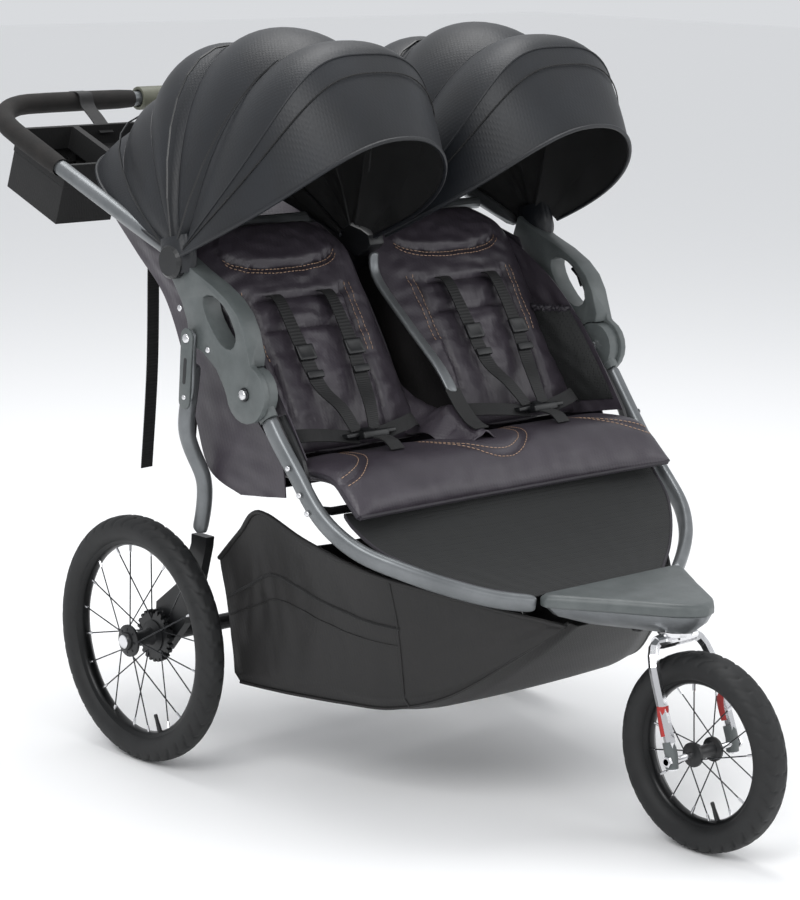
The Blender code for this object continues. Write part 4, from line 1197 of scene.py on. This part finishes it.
for label in ("left", "right"):
    smoothCopy("casing_" + label, "handle_frame", "casing", 0.0024)
    smoothCopy("hub_socket_" + label, "frame", "casing", 0.0012)
    smoothCopy("side_tube_" + label, "frame", "paint", levels=2, angle=60)
    smoothCopy("rear_leg_" + label, "rear_legs", "paint", levels=2, angle=60)
    smoothCopy("grip_" + label, "handle_frame", "foam", levels=1, angle=60)
smoothCopy("nose_casting", "frame", "paint", 0.004, segments=3)
smoothCopy("nose_cover", "frame", "casing", 0.006, segments=4)
smoothCopy("handle_tube", "handle_frame", "paint", levels=1, angle=60)
smoothCopy("handle_housing", "handle_frame", "housing", 0.002)
smoothCopy("organiser", "handle_frame", "neoprene", 0.004, segments=3)
smoothCopy("divider_strut", "handle_frame", "paint", levels=1, angle=60)
smoothCopy("canopy_mount_centre", "handle_frame", "nylon", 0.002)

# cargo bag

bag = {"top": [(-0.141, 0.352, 0.322), (-0.200, 0.405, 0.328), (-0.250, 0.446, 0.331), (-0.360, 0.420, 0.331),
               (-0.480, 0.392, 0.311), (-0.560, 0.366, 0.245), (-0.640, 0.340, 0.172), (-0.688, 0.319, 0.106)],
       "foot": [(-0.178, 0.148, 0.319), (-0.235, 0.147, 0.306), (-0.290, 0.147, 0.292),
                (-0.375, 0.149, 0.268), (-0.455, 0.155, 0.243), (-0.545, 0.188, 0.211),
                (-0.625, 0.252, 0.160), (-0.686, 0.314, 0.104)]}


def bagEdge(points, share):
    line = curvePoints(points, 6)
    where = share * (len(line) - 1)
    i = min(int(where), len(line) - 2)
    return line[i].lerp(line[i + 1], where - i)


# u runs down one side, across the floor and up the other; v from the rear to the nose
def bagPoint(u, v):
    rim = bagEdge([(x, y, z) for y, z, x in bag["top"]], v)
    foot = bagEdge([(x, y, z) for y, z, x in bag["foot"]], v)
    sign = -1 if u < 0.5 else 1
    down = min(u, 1 - u) / 0.34
    if down < 1:
        spot = rim.lerp(foot, down)
        pull = 0.010 * sin(pi * down) * (0.4 + 0.6 * sin(2 * pi * v) ** 2)
        wrinkle = 0.0035 * ripple(down * 2, v * 9, 0.45, sign * 3.0) * sin(pi * min(down, 1))
        x, y, z = spot.x - pull + wrinkle, spot.y, spot.z
    else:
        share = 1 - (min(u, 1 - u) - 0.34) / 0.16
        sag = 0.006 * (1 - share**2)
        x, y, z = foot.x * share, foot.y, foot.z - sag * min(1.0, v * 8) * min(1.0, (1 - v) * 8)
    corner = max(0.0, 1 - abs(down - 1) / 0.12)
    x -= 0.010 * corner
    z += 0.008 * corner
    return at(sign * x, y, max(z, 0.1405))


def makeBag():
    shell = gridPiece("cargo_bag", 120, 70, bagPoint)
    wide = sum((bagPoint(i / 40, 0.45) - bagPoint((i + 1) / 40, 0.45)).length for i in range(40))
    long = sum((bagPoint(0.42, i / 40) - bagPoint(0.42, (i + 1) / 40)).length for i in range(40))
    outwardFrom(shell, at(0, -0.38, 0.34))
    thicken(shell, 0.0022)
    dress(shell, "frame", finishes["basket"], 60)
    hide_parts("basket")

    def rearPlace(u, v):
        side = -1 + 2 * u
        top, foot = bagPoint(0.0, 0.0), bagPoint(0.34, 0.0)
        drop = 0.012 * (1 - side**2)
        spot = top.lerp(foot, v)
        bulge = 0.008 * sin(pi * v) * (1 - side**4) + 0.003 * ripple(side * 3, v * 3, 0.5, 31.0)
        return Vector((side * (top.x + (foot.x - top.x) * v) * -1, spot.y + bulge, spot.z - drop * (1 - v)))

    rear = gridPiece("cargo_bag_rear", 60, 24, rearPlace)
    thicken(rear, 0.0020)
    dress(rear, "frame", finishes["basket"], 60)
    lines = {"rim_right": [(0.0, i / 60) for i in range(61)], "rim_left": [(1.0, i / 60) for i in range(61)],
             "foot_right": [(0.34, i / 60) for i in range(61)],
             "foot_left": [(0.66, i / 60) for i in range(61)]}
    for sign, name in ((0, "right"), (1, "left")):
        flip = (lambda u: u) if sign == 0 else (lambda u: 1 - u)
        lines["zip_" + name] = [(flip(0.105 + 0.02 * i / 30), 0.02 + 0.60 * i / 30) for i in range(31)]
        lines["seam_" + name] = [(flip(0.34 * i / 20), 0.615) for i in range(21)]
        lines["pocket_" + name] = [(flip(0.15 + 0.02 * i / 30), 0.02 + 0.595 * i / 30) for i in range(31)]
    for name, shares in lines.items():
        thick = {"rim": 0.0040, "foot": 0.0026, "zip": 0.0026, "seam": 0.0020,
                 "pocket": 0.0014}[name.split("_")[0]]
        line = [bagPoint(u, v) for u, v in shares]
        line = [p + (Vector((p.x, 0, 0)).normalized() * 0.0014) for p in line]
        finish = "webbing" if name.startswith("zip") else "basket"
        dress(tubePiece("cargo_bag_" + name, line, thick, 8), "frame", finishes[finish], 60)


# net apron from the seat's front edge to the nose, with press studs along its top
apron = [(-0.446, 0.4760, 0.328), (-0.462, 0.4600, 0.325), (-0.500, 0.4335, 0.312),
         (-0.545, 0.4085, 0.276), (-0.600, 0.3835, 0.215), (-0.655, 0.3645, 0.140)]


def makeApron():
    def place(u, v):
        spot = bagEdge([(x, y, z) for y, z, x in apron], v)
        across = -1 + 2 * u
        sag = 0.010 * (1 - across**2) * sin(pi * v)
        return at(across * spot.x, spot.y,
                  spot.z - sag - 0.002 + 0.0012 * ripple(across * 4, v * 4, 0.4, 41.0))

    piece = gridPiece("footwell_apron", 70, 30, place)
    thicken(piece, 0.0016)
    dress(piece, "frame", finishes["mesh"], 60)
    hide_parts("footwell_panel")
    studs = []
    for i in range(5):
        spot = place(0.14 + 0.18 * i, 0.05) + Vector((0, -0.001, 0.001))
        studs.append(turnedPiece("stud", spot, (0, -0.5, 0.86),
                                 [(0, 0.0065), (0.0020, 0.0062), (0.0028, 0.0045), (0.0022, 0.0028)],
                                 20))
    dress(mergePieces("apron_studs", studs), "frame", finishes["nylon"])
    for name, sign in (("right", 0.0), ("left", 1.0)):
        edge = [place(sign, i / 30) for i in range(31)]
        dress(tubePiece("apron_edge_" + name, edge, 0.0026, 8), "frame", finishes["piping"])
    front = [place(i / 40, 0.0) + Vector((0, 0.0005, 0.001)) for i in range(41)]
    dress(tubePiece("apron_top_hem", front, 0.0030, 8), "frame", finishes["basket"])


makeBag()
makeApron()
print("bag and apron ready")

# canopy boots, fasteners and small trim

def makeBoot(label, side):
    centre = Vector((side * (canopyMiddle + 0.176), canopyY, canopyZ))

    def place(u, v):
        turn = 2 * pi * u
        wide = 0.036 - 0.010 * v + 0.006 * sin(pi * v)
        pleat = 0.0016 * sin(turn * 9) * (1 - v) + 0.0010 * ripple(u * 6, v * 3, 0.4, side * 51.0)
        lean = radians(-22)
        a = (wide + pleat) * cos(turn) * 0.92
        b = (0.058 * (0.5 - v) + 0.010)
        x = (0.014 + 0.006 * sin(pi * v)) * sin(turn) + 0.004
        return centre + Vector((side * x, a * cos(lean) - b * sin(lean) - 0.006,
                                a * sin(lean) * 0.6 + b * cos(lean)))

    piece = gridPiece("canopy_boot_" + label, 90, 16, place)
    outward(piece)
    thicken(piece, 0.0016)
    dress(piece, "handle_frame", finishes["canopy"], 70)


def boltHead(name, spot, way, radius, body, finish="chrome", sides=24):
    piece = turnedPiece(name, spot, way, [(-0.0006, radius), (radius * 0.22, radius * 0.98),
                                          (radius * 0.42, radius * 0.80), (radius * 0.50, radius * 0.45)],
                        sides)
    dress(piece, body, finishes[finish])
    return piece


def makeTrim(label, side):
    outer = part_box("casing_" + label)[1].x if side > 0 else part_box("casing_" + label)[0].x
    for number, (y, z) in enumerate(((-0.126, 0.752), (-0.195, 0.696))):
        boltHead("casing_rivet_%s_%d" % (label, number), Vector((outer, y + axleY, z)), (side, 0, 0), 0.0052,
                 "handle_frame")
    hub = Vector((outer, -0.284 + axleY, 0.640))
    boltHead("fold_washer_" + label, hub, (side, 0, 0), 0.0105, "handle_frame", "spoke", 32)
    boltHead("fold_head_" + label, hub + Vector((side * 0.003, 0, 0)), (side, 0, 0), 0.0080,
             "handle_frame", "chrome", 6)
    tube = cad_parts["side_tube_" + label]
    for number, (y, z) in enumerate(((-0.372, 0.540), (-0.396, 0.503), (-0.412, 0.478))):
        spots = [v.co for v in tube.data.vertices if (v.co - at(side * 0.36, y, z)).length < 0.09]
        reach = max(abs(s.x) for s in spots)
        boltHead("tube_rivet_%s_%d" % (label, number), Vector((side * reach, y + axleY, z)), (side, 0, 0),
                 0.0046,
                 "frame")


for label, side in (("right", -1), ("left", 1)):
    makeBoot(label, side)
    makeTrim(label, side)


# red band, sleeve and axle nut on each leg of the fork
def makeForkTrim():
    for number, sign in enumerate((-1, 1)):
        band = [at(sign * 0.0636, -0.850, 0.226), at(sign * 0.0645, -0.8545, 0.205),
                at(sign * 0.0655, -0.862, 0.184)]
        dress(tubePiece("fork_band_%d" % number, curvePoints(band, 8), 0.0089, 16), "fork",
              finishes["redBand"])
        dress(tubePiece("fork_sleeve_%d" % number,
                        [at(sign * 0.0659, -0.866, 0.176), at(sign * 0.066, -0.8725, 0.158),
                         at(sign * 0.066, -0.875, 0.138)], 0.0096, 14), "fork",
              finishes["casing"])
        nut = turnedPiece("fork_nut_%d" % number, at(sign * 0.0745, -0.875, 0.150), (sign, 0, 0),
                          [(0, 0.0085), (0.0045, 0.0085), (0.0055, 0.0065)], 6)
        dress(nut, "fork", finishes["chrome"], 20)


# slotted link plate, pin head and rivet of the rear legs
def makeLegTrim(label, side):
    outer = max(abs(v.co.x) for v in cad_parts["rear_leg_" + label].data.vertices)
    plate = ([(-0.157 + 0.014 * cos(t), 0.712 + 0.014 * sin(t)) for t in [pi * i / 10 for i in range(11)]]
             + [(-0.150 + 0.013 * cos(t),
                 0.612 + 0.013 * sin(t)) for t in [pi + pi * i / 10 for i in range(11)]])
    x = side * (outer + 0.0006)
    link = platePiece("leg_link_" + label, plate, x, x + side * 0.0035, 0.0010)
    dress(link, "rear_legs", finishes["casing"], 40)
    boltHead("leg_pin_head_" + label, at(x + side * 0.0035, -0.157, 0.710), (side, 0, 0), 0.0075, "rear_legs",
             "chrome", 24)
    boltHead("leg_lower_rivet_" + label, at(x + side * 0.0035, -0.151, 0.618), (side, 0, 0), 0.0042,
             "rear_legs")
    slot = [(-0.1545 + 0.0035 * cos(t), 0.676 + 0.0035 * sin(t)) for t in [pi * i / 8 for i in range(9)]] \
        + [(-0.151 + 0.0035 * cos(t), 0.642 + 0.0035 * sin(t)) for t in [pi + pi * i / 8 for i in range(9)]]
    dress(platePiece("leg_link_slot_" + label, slot, x + side * 0.0034, x + side * 0.0040), "rear_legs",
          finishes["nylon"], 40)


for label, side in (("right", -1), ("left", 1)):
    makeLegTrim(label, side)


# two webbing loops that hang the organiser from the bar
def makeOrganiserStraps():
    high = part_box("organiser")[1]
    bar = middleOf("handle_housing")
    for number, x in enumerate((-0.165, 0.165)):
        top = Vector((x, bar.y - 0.004, bar.z - 0.002))
        rear = Vector((x, high.y - 0.040, high.z - 0.004))
        anchors = [top + Vector((0, 0.012, 0.018)), top + Vector((0, -0.014, 0.016)),
                   top + Vector((0, -0.023, -0.004)),
                   top.lerp(rear, 0.5) + Vector((0, -0.010, -0.006)), rear + Vector((0, 0, -0.012))]
        dress(bandPiece("organiser_strap_%d" % number, curvePoints(anchors, 8), 0.028, 0.0020, (1, 0, 0)),
              "handle_frame", finishes["webbing"], 60)


makeOrganiserStraps()
makeForkTrim()

# straps that hang behind the seats
for label, side in (("right", -1), ("left", 1)):
    for number, (x, y, z, drop) in enumerate(((0.30, 0.060, 0.790, 0.330), (0.22, 0.050, 0.780, 0.300))):
        anchors = [at(side * x, y, z), at(side * x, y + 0.004, z - drop * 0.5),
                   at(side * (x + 0.006), y + 0.012, z - drop)]
        dress(bandPiece("recline_strap_%s_%d" % (label, number), curvePoints(anchors, 10), 0.024, 0.0018,
                        (1, 0.1, 0)),
              "handle_frame", finishes["webbing"], 60)
print("trim ready")
